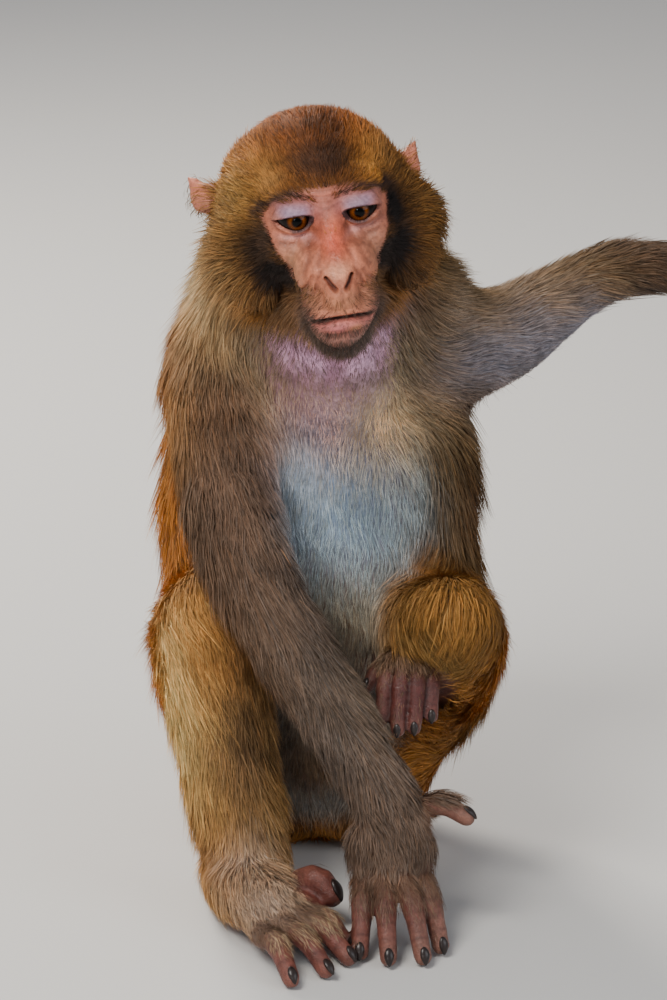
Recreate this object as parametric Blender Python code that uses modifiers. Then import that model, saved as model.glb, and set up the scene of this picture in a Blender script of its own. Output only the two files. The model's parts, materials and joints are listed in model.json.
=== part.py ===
"""A rhesus macaque that sits on its rump, a life-size museum model, out to the tips of its coat.

Metres, +Z up. The animal faces -Y, its left side is at +X, and it rests on Z = 0. The origin is on the
floor, under the middle of the trunk. Each part of the body is first built up like clay from balls and
tapered tubes, then fused, smoothed and thinned, and last parted from its neighbours with thin cuts.
"""

import math

import bmesh
import bpy
from mathutils import Matrix, Vector

GAP = 0.0003  # between two parts that touch
MERGE = 1e-6  # points nearer than this are one
CUT_THICKNESS = 0.0003  # of a cut that parts two lengths of one limb
FLOOR_DEPTH = 0.05  # of the block that takes off what reaches under the floor
TUBE_SIDES = 4  # bevel resolution of a limb's tube
BALL_SEGMENTS = 20
BALL_RINGS = 12

# The head is shaped in a frame of its own: x to the animal's left, y to the back, z up.
HEAD_CENTRE = Vector((0.0000, -0.0715, 0.3785))
HEAD_YAW = math.radians(5.5)
HEAD_PITCH = math.radians(5)
HEAD_ROLL = math.radians(-8)
EYE_RADIUS = 0.0095
EYE_SPREAD = 0.0152  # from the middle of the face to the middle of an eye
EYE_DEPTH = -0.0365
EYE_HEIGHT = 0.0005
EAR_SHIFT = -0.006  # both ears, to the right, as the head turns a little to its left

BODY_TOP = 0.315  # the trunk below this height is evened out
BODY_EVENING = 30  # rounds of smoothing
EVERY_AXIS = {"use_axis_x": True, "use_axis_y": True, "use_axis_z": True}

# The joints of the limbs: shoulder to knuckles, and hip to the roots of the toes.
RIGHT_SHOULDER = Vector((-0.053, -0.020, 0.272))
RIGHT_ELBOW = Vector((-0.032, -0.110, 0.184))
RIGHT_WRIST = Vector((0.033, -0.115, 0.072))
RIGHT_KNUCKLES = Vector((0.037, -0.121, 0.033))
LEFT_SHOULDER = Vector((0.054, -0.012, 0.274))
LEFT_ELBOW = Vector((0.150, 0.045, 0.303))
LEFT_WRIST = Vector((0.268, 0.010, 0.295))
LEFT_KNUCKLES = Vector((0.308, -0.004, 0.285))
RIGHT_HIP = Vector((-0.047, 0.018, 0.078))
RIGHT_KNEE = Vector((-0.055, -0.082, 0.163))
RIGHT_ANKLE = Vector((-0.034, -0.092, 0.031))
LEFT_HIP = Vector((0.052, 0.018, 0.085))
LEFT_KNEE = Vector((0.066, -0.110, 0.172))
LEFT_ANKLE = Vector((0.050, -0.022, 0.112))

# Fingers and toes: root and tip of each, thumb or big toe first. Their pads are at the tip.
RIGHT_FINGERS = (
    ((0.046, -0.112, 0.064), (0.073, -0.121, 0.065)),
    ((0.050, -0.121, 0.033), (0.060, -0.143, 0.0040)),
    ((0.041, -0.125, 0.034), (0.051, -0.156, 0.0036)),
    ((0.031, -0.125, 0.033), (0.034, -0.157, 0.0036)),
    ((0.022, -0.121, 0.031), (0.020, -0.150, 0.0038)),
)
LEFT_FINGERS = (
    ((0.288, -0.010, 0.283), (0.300, -0.032, 0.271)),
    ((0.309, -0.014, 0.283), (0.340, -0.032, 0.271)),
    ((0.312, -0.005, 0.285), (0.351, -0.016, 0.271)),
    ((0.312, 0.003, 0.284), (0.349, 0.000, 0.270)),
    ((0.308, 0.010, 0.282), (0.338, 0.014, 0.270)),
)
RIGHT_TOES = (
    ((-0.009, -0.103, 0.021), (0.006, -0.113, 0.019)),
    ((-0.006, -0.128, 0.014), (0.013, -0.142, 0.0037)),
    ((-0.012, -0.136, 0.016), (0.014, -0.157, 0.0037)),
    ((-0.020, -0.142, 0.015), (0.003, -0.171, 0.0037)),
    ((-0.028, -0.146, 0.012), (-0.014, -0.182, 0.0037)),
)
LEFT_TOES = (
    ((0.036, -0.062, 0.120), (0.024, -0.074, 0.116)),
    ((0.0360, -0.088, 0.135), (0.0300, -0.105, 0.110)),
    ((0.0420, -0.090, 0.138), (0.0385, -0.110, 0.107)),
    ((0.0490, -0.090, 0.137), (0.0470, -0.109, 0.108)),
    ((0.0550, -0.087, 0.133), (0.0555, -0.103, 0.112)),
)
DIGIT_ROOT = 0.0062
DIGIT_TIP = 0.0049
BIG_TOE_SHARE = 1.30  # of the right foot's, the thickest digit of all
SMALL_TOE_SHARE = 0.82  # of the left toes, which hang curled
RIGHT_TOE_ROOTS = Vector((-0.018, -0.150, 0.012))
RIGHT_ARM_JOINTS = (RIGHT_SHOULDER, RIGHT_ELBOW, RIGHT_WRIST, RIGHT_KNUCKLES)
LEFT_ARM_JOINTS = (LEFT_SHOULDER, LEFT_ELBOW, LEFT_WRIST, LEFT_KNUCKLES)
RIGHT_LEG_JOINTS = (RIGHT_HIP, RIGHT_KNEE, RIGHT_ANKLE, RIGHT_TOE_ROOTS)
ARM_NAMES = ("upper_arm", "forearm", "hand")
LEG_NAMES = ("thigh", "shank", "foot")
END_CUT = 0.95  # of the way from the middle joint to the last one
TAIL = (
    (0.004, 0.078, 0.034, 0.0150),
    (0.012, 0.115, 0.014, 0.0135),
    (0.022, 0.160, 0.0115, 0.0125),
    (0.020, 0.205, 0.0105, 0.0115),
    (0.006, 0.245, 0.0085, 0.0095),
    (-0.018, 0.268, 0.0065, 0.0075),
)

TAIL_CUTS = ((TAIL[2][:3], (0.15, 1.0, 0.0), 0.03), (TAIL[4][:3], (-0.6, 1.0, 0.0), 0.03))
TAIL_PLACES = {"tail_root": TAIL[1][:3], "tail_middle": TAIL[3][:3], "tail_tip": TAIL[5][:3]}

# Where the head, neck, chest and abdomen part: centre, normal and radius of each cut.
CORE_CUTS = (
    ((-0.002, -0.045, 0.330), (0.0, -0.55, 1.0), 0.12),
    ((0.002, -0.010, 0.285), (0.0, -0.35, 1.0), 0.12),
    ((0.0, 0.010, 0.165), (0.0, 0.0, 1.0), 0.14),
)
CORE_PLACES = {
    "head": (0, -0.08, 0.37),
    "neck": (0, -0.03, 0.31),
    "chest": (0, 0.0, 0.22),
    "abdomen": (0, 0.02, 0.08),
}

# How finely each mass is fused, and how many times it is smoothed.
CORE_VOXEL, CORE_ROUNDS = 0.0028, 5
LIMB_VOXEL, LIMB_ROUNDS = 0.0022, 6
TOE_VOXEL, TOE_ROUNDS = 0.0014, 3
EAR_VOXEL, EAR_ROUNDS = 0.0016, 2

SIDES = {"right": -1, "left": 1}
SHARP_ANGLE = math.radians(50)
MATERIALS = {  # colour and roughness
    "coat": ((0.30, 0.19, 0.10, 1.0), 0.85),
    "bare_skin": ((0.55, 0.32, 0.26, 1.0), 0.60),
    "eye": ((0.30, 0.14, 0.02, 1.0), 0.10),
}


def new_collection(name):
    collection = bpy.data.collections.new(name)
    bpy.context.scene.collection.children.link(collection)
    return collection


def clear_scene():
    for old in list(bpy.data.objects):
        bpy.data.objects.remove(old, do_unlink=True)


def add_object(name, mesh, collection):
    made = bpy.data.objects.new(name, mesh)
    collection.objects.link(made)
    return made


def head_frame():
    turn = Matrix.Rotation(HEAD_YAW, 4, "Z") @ Matrix.Rotation(HEAD_PITCH, 4, "X")
    return Matrix.Translation(HEAD_CENTRE) @ turn @ Matrix.Rotation(HEAD_ROLL, 4, "Y")


HEAD = head_frame()


def ball(centre, radii, frame=None, turn_x=0.0, turn_y=0.0, turn_z=0.0):
    """A ball squeezed to three radii, turned by degrees about its own middle."""
    shape = bmesh.new()
    bmesh.ops.create_uvsphere(shape, u_segments=BALL_SEGMENTS, v_segments=BALL_RINGS, radius=1.0)
    turn = Matrix.Rotation(math.radians(turn_z), 4, "Z")
    turn = turn @ Matrix.Rotation(math.radians(turn_y), 4, "Y")
    turn = turn @ Matrix.Rotation(math.radians(turn_x), 4, "X")
    place = Matrix.Translation(Vector(centre)) @ turn @ Matrix.Diagonal((*radii, 1.0))
    if frame is not None:
        place = frame @ place
    bmesh.ops.transform(shape, matrix=place, verts=shape.verts)
    mesh = bpy.data.meshes.new("ball")
    shape.to_mesh(mesh)
    shape.free()
    return mesh


def pair(centre, radii, **turns):
    """The same ball on both sides of the head."""
    x, y, z = centre
    mirrored = {"turn_x": turns.get("turn_x", 0.0)}
    mirrored["turn_y"] = -turns.get("turn_y", 0.0)
    mirrored["turn_z"] = -turns.get("turn_z", 0.0)
    return [ball((x, y, z), radii, HEAD, **turns), ball((-x, y, z), radii, HEAD, **mirrored)]


def pair_of_balls(centre, radii):
    """The same ball on both sides of the body."""
    x, y, z = centre
    return [ball((side * x, y, z), radii) for side in (-1, 1)]


def tube(stations, frame=None):
    """A round limb through (x, y, z, radius) stations, with a ball on each end."""
    curve = bpy.data.curves.new("tube", "CURVE")
    curve.dimensions = "3D"
    curve.bevel_depth = 1.0
    curve.bevel_resolution = TUBE_SIDES
    curve.use_fill_caps = True
    spline = curve.splines.new("BEZIER")
    spline.bezier_points.add(len(stations) - 1)
    for point, (x, y, z, radius) in zip(spline.bezier_points, stations):
        point.co = (x, y, z)
        point.radius = radius
        point.handle_left_type = point.handle_right_type = "AUTO"
    guide = bpy.data.objects.new("tube", curve)
    bpy.context.scene.collection.objects.link(guide)
    bpy.context.view_layer.update()
    evaluated = guide.evaluated_get(bpy.context.evaluated_depsgraph_get())
    mesh = bpy.data.meshes.new_from_object(evaluated)
    bpy.data.objects.remove(guide, do_unlink=True)
    if frame is not None:
        mesh.transform(frame)
    ends = [ball(end[:3], (end[3],) * 3, frame) for end in (stations[0], stations[-1])]
    return [mesh, *ends]


def station(point, radius):
    return (*point, radius)


def between(a, b, share, shift=(0, 0, 0)):
    return a.lerp(b, share) + Vector(shift)


def with_modifier(mesh, kind, **settings):
    """The mesh with one modifier applied."""
    holder = bpy.data.objects.new("holder", mesh)
    bpy.context.scene.collection.objects.link(holder)
    modifier = holder.modifiers.new(kind.lower(), kind)
    for key, value in settings.items():
        setattr(modifier, key, value)
    bpy.context.view_layer.update()
    evaluated = holder.evaluated_get(bpy.context.evaluated_depsgraph_get())
    result = bpy.data.meshes.new_from_object(evaluated)
    bpy.data.objects.remove(holder, do_unlink=True)
    return result


def joined(meshes):
    whole = bmesh.new()
    for mesh in meshes:
        whole.from_mesh(mesh)
    result = bpy.data.meshes.new("joined")
    whole.to_mesh(result)
    whole.free()
    return result


def fused(shapes, voxel, rounds, shaping=None):
    """The balls and tubes as one smooth body; shaping presses in its hollows before it is smoothed."""
    mesh = with_modifier(joined(shapes), "REMESH", mode="VOXEL", voxel_size=voxel)
    if shaping is not None:
        shaping(mesh)
    return with_modifier(mesh, "SMOOTH", factor=0.5, iterations=rounds)


def thinned(mesh, triangles):
    mesh.calc_loop_triangles()
    share = triangles / len(mesh.loop_triangles)
    mesh = with_modifier(mesh, "DECIMATE", ratio=min(1.0, share))
    shape = bmesh.new()
    shape.from_mesh(mesh)
    bmesh.ops.triangulate(shape, faces=shape.faces)
    shape.to_mesh(mesh)
    shape.free()
    return mesh


def swollen(mesh, by=GAP):
    """A copy of the mesh with each point moved out along its normal."""
    copy = mesh.copy()
    normals = [v.normal.copy() for v in copy.vertices]
    for vertex, normal in zip(copy.vertices, normals):
        vertex.co += normal * by
    return copy


def body_with(start, unvisited):
    """The vertices joined to the start, which leave the unvisited set."""
    body = {start}
    front = [start]
    while front:
        for edge in front.pop().link_edges:
            for vertex in edge.verts:
                if vertex in unvisited:
                    unvisited.discard(vertex)
                    body.add(vertex)
                    front.append(vertex)
    return body


def largest_first(mesh):
    """The separate bodies in the mesh, by volume."""
    whole = bmesh.new()
    whole.from_mesh(mesh)
    bmesh.ops.remove_doubles(whole, verts=whole.verts, dist=MERGE)
    whole.verts.index_update()
    unvisited = set(whole.verts)
    bodies = []
    while unvisited:
        keep = {vertex.index for vertex in body_with(unvisited.pop(), unvisited)}
        piece = whole.copy()
        others = [vertex for vertex in piece.verts if vertex.index not in keep]
        bmesh.ops.delete(piece, geom=others, context="VERTS")
        made = bpy.data.meshes.new("piece")
        piece.to_mesh(made)
        bodies.append((piece.calc_volume(), made))
        piece.free()
    whole.free()
    bodies.sort(key=lambda item: item[0], reverse=True)
    return [made for _, made in bodies]


def largest(mesh):
    return largest_first(mesh)[0]


def without(mesh, cutters):
    """The mesh less each cutter."""
    for cutter in cutters:
        tool = add_object("cutter", cutter, cutters_collection)
        mesh = with_modifier(mesh, "BOOLEAN", operation="DIFFERENCE", solver="EXACT", object=tool)
        bpy.data.objects.remove(tool, do_unlink=True)
    return mesh


def disc(centre, normal, radius):
    """A thin round blade."""
    shape = bmesh.new()
    bmesh.ops.create_cone(
        shape, cap_ends=True, segments=24, radius1=radius, radius2=radius, depth=CUT_THICKNESS
    )
    turn = Vector(normal).to_track_quat("Z", "Y").to_matrix().to_4x4()
    bmesh.ops.transform(shape, matrix=Matrix.Translation(Vector(centre)) @ turn, verts=shape.verts)
    mesh = bpy.data.meshes.new("disc")
    shape.to_mesh(mesh)
    shape.free()
    return mesh


def floor_block():
    shape = bmesh.new()
    bmesh.ops.create_cube(shape, size=1.0)
    place = Matrix.Translation((0, 0, -FLOOR_DEPTH / 2)) @ Matrix.Diagonal((2, 2, FLOOR_DEPTH, 1))
    bmesh.ops.transform(shape, matrix=place, verts=shape.verts)
    mesh = bpy.data.meshes.new("floor_block")
    shape.to_mesh(mesh)
    shape.free()
    return mesh


def press(mesh, centre, reach, push):
    """Moves the surface near the centre by the push, fading out with distance, as a thumb does in clay."""
    for vertex in mesh.vertices:
        away = (vertex.co - centre).length / reach
        if away < 2.5:
            vertex.co += push * math.exp(-away * away)


def eye_centre(side):
    return HEAD @ Vector((side * EYE_SPREAD, EYE_DEPTH, EYE_HEIGHT))


def shape_face(mesh):
    """Eye sockets, the narrow root of the nose, the nostrils' notch and the line of the mouth."""
    back = HEAD.to_3x3() @ Vector((0, 1, 0))
    for side in (-1, 1):
        press(mesh, HEAD @ Vector((side * 0.0155, -0.0440, 0.0005)), 0.0080, back * 0.0035)
        press(mesh, HEAD @ Vector((side * 0.0042, -0.0750, -0.0215)), 0.0035, back * 0.0015)
    for step in range(-3, 4):
        x = step * 0.0052
        press(mesh, HEAD @ Vector((x, -0.0810 + abs(x) * 0.6, -0.0375)), 0.0040, back * 0.0016)


def shape_core(mesh):
    """The face's hollows, and the trunk evened out below the chin."""
    shape_face(mesh)
    shape = bmesh.new()
    shape.from_mesh(mesh)
    body = [vertex for vertex in shape.verts if vertex.co.z < BODY_TOP]
    for _ in range(BODY_EVENING):
        bmesh.ops.smooth_vert(shape, verts=body, factor=0.5, **EVERY_AXIS)
    shape.to_mesh(mesh)
    shape.free()


def core_clay():
    """Head, neck and trunk."""
    bridge = tube(
        (
            (0, -0.0410, 0.0040, 0.0065),
            (0, -0.0560, -0.0125, 0.0078),
            (0, -0.0735, -0.0285, 0.0085),
        ),
        HEAD,
    )
    skull = [
        ball((-0.003, 0.010, -0.003), (0.0470, 0.0540, 0.0370), HEAD),
        ball((-0.004, -0.004, -0.012), (0.0500, 0.0440, 0.0340), HEAD),
        *pair((0.036, -0.004, -0.027), (0.0165, 0.0310, 0.0310), turn_z=-14),
    ]
    face = [
        ball((0, -0.0280, 0.0100), (0.0310, 0.0175, 0.0100), HEAD),
        ball((0, -0.0220, -0.0130), (0.0345, 0.0275, 0.0360), HEAD),
        *pair((0.0195, -0.0330, -0.0140), (0.0120, 0.0150, 0.0110)),
        *pair((0.0085, -0.0510, -0.0230), (0.0120, 0.0180, 0.0140)),
        ball((0, -0.0550, -0.0410), (0.0215, 0.0285, 0.0180), HEAD, turn_x=14),
        ball((0, -0.0500, -0.0560), (0.0175, 0.0225, 0.0125), HEAD),
    ]
    neck = tube(
        (
            (-0.004, -0.034, 0.362, 0.044),
            (-0.003, -0.030, 0.338, 0.053),
            (-0.001, -0.020, 0.308, 0.061),
            (0.001, 0.000, 0.270, 0.064),
        )
    )
    throat = tube(
        (
            (0.006, -0.085, 0.332, 0.022),
            (0.006, -0.066, 0.305, 0.032),
            (0.005, -0.040, 0.275, 0.040),
        )
    )
    trunk = [
        ball((-0.001, 0.002, 0.268), (0.076, 0.056, 0.052)),
        ball((0.001, 0.006, 0.210), (0.084, 0.062, 0.075)),
        ball((0.003, 0.006, 0.150), (0.086, 0.070, 0.078)),
        ball((0.000, 0.016, 0.067), (0.078, 0.064, 0.073)),
        ball((0.045, -0.008, 0.298), (0.034, 0.032, 0.032)),
        ball((-0.040, -0.010, 0.290), (0.032, 0.032, 0.032)),
        ball((-0.041, 0.012, 0.182), (0.0475, 0.056, 0.100)),
        ball((0.042, 0.010, 0.205), (0.047, 0.050, 0.055)),
    ]
    spine = tube(
        (
            (0.000, 0.010, 0.318, 0.032),
            (0.000, 0.036, 0.265, 0.036),
            (0.000, 0.050, 0.195, 0.038),
            (0.000, 0.050, 0.120, 0.038),
            (0.000, 0.042, 0.055, 0.038),
        )
    )
    sitting_pads = pair_of_balls((0.027, 0.004, 0.013), (0.024, 0.034, 0.0165))
    return [*skull, *face, *bridge, *neck, *throat, *trunk, *spine, *sitting_pads]


def right_arm_clay():
    shoulder, elbow, wrist, knuckles = RIGHT_SHOULDER, RIGHT_ELBOW, RIGHT_WRIST, RIGHT_KNUCKLES
    upper = tube(
        (
            station(shoulder, 0.0340),
            station(between(shoulder, elbow, 0.45, (-0.004, -0.002, -0.004)), 0.0310),
            station(elbow, 0.0260),
            station(between(elbow, wrist, 0.35), 0.0250),
            station(between(elbow, wrist, 0.72), 0.0205),
            station(wrist, 0.0155),
            station(knuckles, 0.0110),
        )
    )
    palm = [ball(wrist.lerp(knuckles, 0.66), (0.0225, 0.0108, 0.0260), turn_x=8)]
    return [*upper, *palm, *digits(RIGHT_FINGERS, 0.006)]


def left_arm_clay():
    shoulder, elbow, wrist, knuckles = LEFT_SHOULDER, LEFT_ELBOW, LEFT_WRIST, LEFT_KNUCKLES
    upper = tube(
        (
            station(shoulder, 0.0380),
            station(between(shoulder, elbow, 0.40, (0, 0, -0.017)), 0.0305),
            station(between(shoulder, elbow, 0.75, (0, 0, -0.006)), 0.0215),
            station(elbow, 0.0165),
            station(between(elbow, wrist, 0.30), 0.0170),
            station(between(elbow, wrist, 0.70), 0.0150),
            station(wrist, 0.0130),
            station(knuckles, 0.0100),
        )
    )
    palm = [ball(wrist.lerp(knuckles, 0.60), (0.0250, 0.0190, 0.0100), turn_z=-15, turn_y=10)]
    return [*upper, *palm, *digits(LEFT_FINGERS, 0.005)]


def right_leg_clay():
    hip, knee, ankle = RIGHT_HIP, RIGHT_KNEE, RIGHT_ANKLE
    limb = tube(
        (
            station(hip, 0.0410),
            station(between(hip, knee, 0.50, (-0.002, 0, 0)), 0.0380),
            station(knee, 0.0270),
            station(between(knee, ankle, 0.28, (-0.004, 0.010, 0)), 0.0320),
            station(between(knee, ankle, 0.58, (-0.004, 0.010, 0)), 0.0310),
            station(between(knee, ankle, 0.85, (-0.005, 0.006, 0)), 0.0260),
            station(ankle, 0.0170),
        )
    )
    foot = tube(
        (
            (-0.044, -0.078, 0.0145, 0.0160),
            (-0.036, -0.102, 0.0170, 0.0185),
            (-0.026, -0.122, 0.0150, 0.0165),
            (-0.019, -0.136, 0.0130, 0.0125),
        )
    )
    instep = [ball((-0.020, -0.122, 0.0130), (0.0220, 0.0240, 0.0120), turn_z=-28)]
    big_toe = digits(RIGHT_TOES[:1], 0.003, BIG_TOE_SHARE)
    return [*limb, *foot, *instep, *big_toe, *digits(RIGHT_TOES[1:], 0.006)]


def left_thigh_clay():
    hip, knee = LEFT_HIP, LEFT_KNEE
    return tube(
        (
            station(hip, 0.0430),
            station(between(hip, knee, 0.55, (0.006, 0, -0.002)), 0.0350),
            station(knee, 0.0260),
        )
    )


def left_shank_clay():
    knee, ankle = LEFT_KNEE, LEFT_ANKLE
    return tube(
        (
            station(between(knee, ankle, 0.05), 0.0240),
            station(between(knee, ankle, 0.50, (-0.010, 0.000, 0.004)), 0.0240),
            station(ankle, 0.0170),
        )
    )


def left_foot_clay():
    foot = tube(
        (
            (0.053, -0.008, 0.108, 0.0140),
            (0.049, -0.040, 0.118, 0.0140),
            (0.046, -0.070, 0.128, 0.0125),
            (0.046, -0.084, 0.132, 0.0100),
        )
    )
    instep = [ball((0.0460, -0.066, 0.126), (0.0150, 0.0260, 0.0095), turn_x=-12)]
    return [*foot, *instep, *digits(LEFT_TOES, 0.005, SMALL_TOE_SHARE)]


def digits(places, bend, share=1.0):
    """Fingers or toes: each rises a little to its middle joint."""
    made = []
    for root, tip in places:
        root, tip = Vector(root), Vector(tip)
        middle = root.lerp(tip, 0.52) + Vector((0, 0, bend))
        made += tube(
            (
                station(root, DIGIT_ROOT * share),
                station(middle, (DIGIT_ROOT + DIGIT_TIP) / 2 * share),
                station(tip, DIGIT_TIP * share),
            )
        )
    return made


def ear_mesh(side):
    """A thin rounded ear with a shallow cup and a small point at its top."""
    base = Matrix.Translation((EAR_SHIFT + side * 0.0450, 0.014, -0.009))
    place = HEAD @ base @ Matrix.Rotation(side * math.radians(38), 4, "Z")
    shape = [
        ball((side * 0.004, 0.0, 0.000), (0.0140, 0.0042, 0.0135), place),
        ball((side * 0.0110, 0.001, 0.008), (0.0055, 0.0028, 0.0070), place, turn_y=side * 30),
    ]
    mesh = fused(shape, EAR_VOXEL, EAR_ROUNDS)
    push = place.to_3x3() @ Vector((0, 0.0030, 0))
    press(mesh, place @ Vector((side * 0.008, -0.0045, 0.002)), 0.0070, push)
    return mesh


def eye_mesh(side):
    shape = bmesh.new()
    bmesh.ops.create_uvsphere(shape, u_segments=10, v_segments=8, radius=EYE_RADIUS)
    bmesh.ops.transform(shape, matrix=Matrix.Translation(eye_centre(side)), verts=shape.verts)
    bmesh.ops.triangulate(shape, faces=shape.faces)
    mesh = bpy.data.meshes.new("eye")
    shape.to_mesh(mesh)
    shape.free()
    return mesh


def parted(mesh, cuts):
    """The mesh cut by thin discs, as a list of its separate bodies."""
    return largest_first(without(mesh, [disc(*cut) for cut in cuts]))


def centre_of(mesh):
    total = Vector()
    for vertex in mesh.vertices:
        total += vertex.co
    return total / len(mesh.vertices)


def name_bodies(pieces, places):
    """Gives each named place the body whose middle is nearest to it."""
    named = {}
    left = pieces[: len(places)]
    for name, place in places.items():
        nearest = min(left, key=lambda mesh: (centre_of(mesh) - Vector(place)).length)
        left.remove(nearest)
        named[name] = nearest
    return named


def limb_bodies(mesh, joints, radii, side, names):
    """Cuts a limb across the bisector of its middle joint, and square across above its last one."""
    first, middle, end, tip = joints
    bisector = (middle - first).normalized() + (end - middle).normalized()
    cuts = ((middle, bisector, radii[0]), (middle.lerp(end, END_CUT), end - middle, radii[1]))
    places = (first.lerp(middle, 0.5), middle.lerp(end, 0.5), end.lerp(tip, 0.8))
    return name_bodies(parted(mesh, cuts), {f"{n}_{side}": p for n, p in zip(names, places)})


def slot_of(name):
    if name.startswith("eye"):
        return "eye"
    if name.startswith(("hand", "foot", "ear")):
        return "bare_skin"
    return "coat"


def finish(name, mesh, slot):
    """Makes the body an object with a material of its own."""
    colour, roughness = MATERIALS[slot]
    material = bpy.data.materials.new(f"{name}_{slot}")
    material.use_nodes = True
    shader = material.node_tree.nodes["Principled BSDF"]
    shader.inputs["Base Color"].default_value = colour
    shader.inputs["Roughness"].default_value = roughness
    shader.inputs["Metallic"].default_value = 0.0
    mesh.materials.clear()
    mesh.materials.append(material)
    mesh.shade_smooth()
    mesh.set_sharp_from_angle(angle=SHARP_ANGLE)
    add_object(name, mesh, parts_collection)


clear_scene()
parts_collection = new_collection("rhesus_macaque")
cutters_collection = new_collection("cutters")
cutters_collection.hide_render = True

# Each mass of clay, thinned to about the number of triangles given last, and flat where it meets
# the floor.
floor = floor_block()
right_arm = without(thinned(fused(right_arm_clay(), LIMB_VOXEL, LIMB_ROUNDS), 880), [floor])
left_arm = thinned(fused(left_arm_clay(), LIMB_VOXEL, LIMB_ROUNDS), 840)
right_leg = without(thinned(fused(right_leg_clay(), LIMB_VOXEL, LIMB_ROUNDS), 960), [floor])
left_thigh = thinned(fused(left_thigh_clay(), LIMB_VOXEL, LIMB_ROUNDS), 300)
left_shank = thinned(fused(left_shank_clay(), LIMB_VOXEL, LIMB_ROUNDS), 220)
left_foot = thinned(fused(left_foot_clay(), TOE_VOXEL, TOE_ROUNDS), 640)
tail = without(thinned(fused(tube(TAIL), LIMB_VOXEL, LIMB_ROUNDS), 300), [floor])
core = without(thinned(fused(core_clay(), CORE_VOXEL, CORE_ROUNDS, shape_core), 1720), [floor])
ears = {side: thinned(ear_mesh(side), 160) for side in SIDES.values()}
eyes = {side: eye_mesh(side) for side in SIDES.values()}

# Where two masses meet, one gives way: each of these takes its own shape, with the gap, out of others.
around = {
    name: swollen(mesh)
    for name, mesh in (
        ("right_arm", right_arm),
        ("left_arm", left_arm),
        ("right_leg", right_leg),
        ("left_thigh", left_thigh),
        ("left_shank", left_shank),
        ("left_foot", left_foot),
        ("tail", tail),
        ("right_eye", eyes[SIDES["right"]]),
        ("left_eye", eyes[SIDES["left"]]),
    )
}
right_leg = largest(without(right_leg, [around["right_arm"]]))
left_foot = largest(without(left_foot, [around["left_thigh"], around["right_arm"]]))
shank_neighbours = ("left_thigh", "left_foot", "right_arm")
left_shank = largest(without(left_shank, [around[name] for name in shank_neighbours]))
tail = largest(without(tail, [around["right_leg"], around["left_thigh"]]))
core = largest(without(core, around.values()))
around_core = swollen(core)
ears = {side: largest(without(mesh, [around_core])) for side, mesh in ears.items()}

bodies = {"thigh_left": left_thigh, "shank_left": left_shank, "foot_left": left_foot}
bodies.update(name_bodies(parted(core, CORE_CUTS), CORE_PLACES))
bodies.update(name_bodies(parted(tail, TAIL_CUTS), TAIL_PLACES))
bodies.update(limb_bodies(right_arm, RIGHT_ARM_JOINTS, (0.045, 0.028), "right", ARM_NAMES))
bodies.update(limb_bodies(left_arm, LEFT_ARM_JOINTS, (0.045, 0.028), "left", ARM_NAMES))
bodies.update(limb_bodies(right_leg, RIGHT_LEG_JOINTS, (0.110, 0.032), "right", LEG_NAMES))
for side_name, side in SIDES.items():
    bodies[f"ear_{side_name}"] = ears[side]
    bodies[f"eye_{side_name}"] = eyes[side]

for body_name, body_mesh in bodies.items():
    finish(body_name, body_mesh, slot_of(body_name))
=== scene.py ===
# %% [markdown]
# # A rhesus macaque that sits on its rump
#
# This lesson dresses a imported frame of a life-size museum model: one skin over the whole body, two glass
# eyes, twenty nails, and a coat of many thin locks of hair. Lengths are in metres, +Z is up, and the animal
# faces -Y with its left side at +X.

import json
import math

import bmesh
import bpy
import numpy as np
from mathutils import Euler, Matrix, Vector
from mathutils.bvhtree import BVHTree

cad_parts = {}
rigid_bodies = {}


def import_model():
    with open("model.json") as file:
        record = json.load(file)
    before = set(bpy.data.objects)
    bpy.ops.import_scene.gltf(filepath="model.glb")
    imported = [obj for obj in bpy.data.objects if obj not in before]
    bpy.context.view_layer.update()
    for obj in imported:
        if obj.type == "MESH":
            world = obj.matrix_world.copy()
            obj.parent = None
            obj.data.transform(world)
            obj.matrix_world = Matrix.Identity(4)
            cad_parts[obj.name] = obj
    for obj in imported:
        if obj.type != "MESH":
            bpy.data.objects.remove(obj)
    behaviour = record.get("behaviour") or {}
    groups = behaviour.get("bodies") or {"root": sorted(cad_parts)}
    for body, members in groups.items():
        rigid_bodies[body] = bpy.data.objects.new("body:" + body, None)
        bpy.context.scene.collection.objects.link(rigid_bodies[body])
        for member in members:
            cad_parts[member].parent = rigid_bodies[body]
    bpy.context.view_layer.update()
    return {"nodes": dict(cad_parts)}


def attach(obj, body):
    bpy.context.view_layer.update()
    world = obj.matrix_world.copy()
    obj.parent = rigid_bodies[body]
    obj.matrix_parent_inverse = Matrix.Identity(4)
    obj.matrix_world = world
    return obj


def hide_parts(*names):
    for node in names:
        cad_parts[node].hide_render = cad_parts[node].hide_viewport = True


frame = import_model()
chance = np.random.default_rng(7)
print("frame loaded:", len(frame["nodes"]), "nodes")

# %% [markdown]
# ## Clay for the skin
#
# On a real animal the skin lies under the hair, so the skin here is the frame's own masses made slimmer by
# the depth of the coat. Balls and tapered tubes are piled up and later fused, which is how a sculptor
# starts in clay. Polygon modelling by hand would give better loops, but a still model does not need them.
# Each lump is made in a small bmesh of its own, because an operator gets slow in a bmesh that is full.

# %% Helpers that make meshes and objects
def mesh_from(shape, name):
    """A mesh of what a bmesh holds; the bmesh is then freed."""
    mesh = bpy.data.meshes.new(name)
    shape.to_mesh(mesh)
    shape.free()
    return mesh


def in_scene(name, data):
    """A new object in the scene, at the origin."""
    made = bpy.data.objects.new(name, data)
    bpy.context.scene.collection.objects.link(made)
    return made


# %% Helpers that add clay
clay = []  # one mesh for each lump


def lump(operator, **settings):
    """Adds what one of bmesh's create_ operators makes."""
    shape = bmesh.new()
    operator(shape, **settings)
    clay.append(mesh_from(shape, "lump"))


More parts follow.
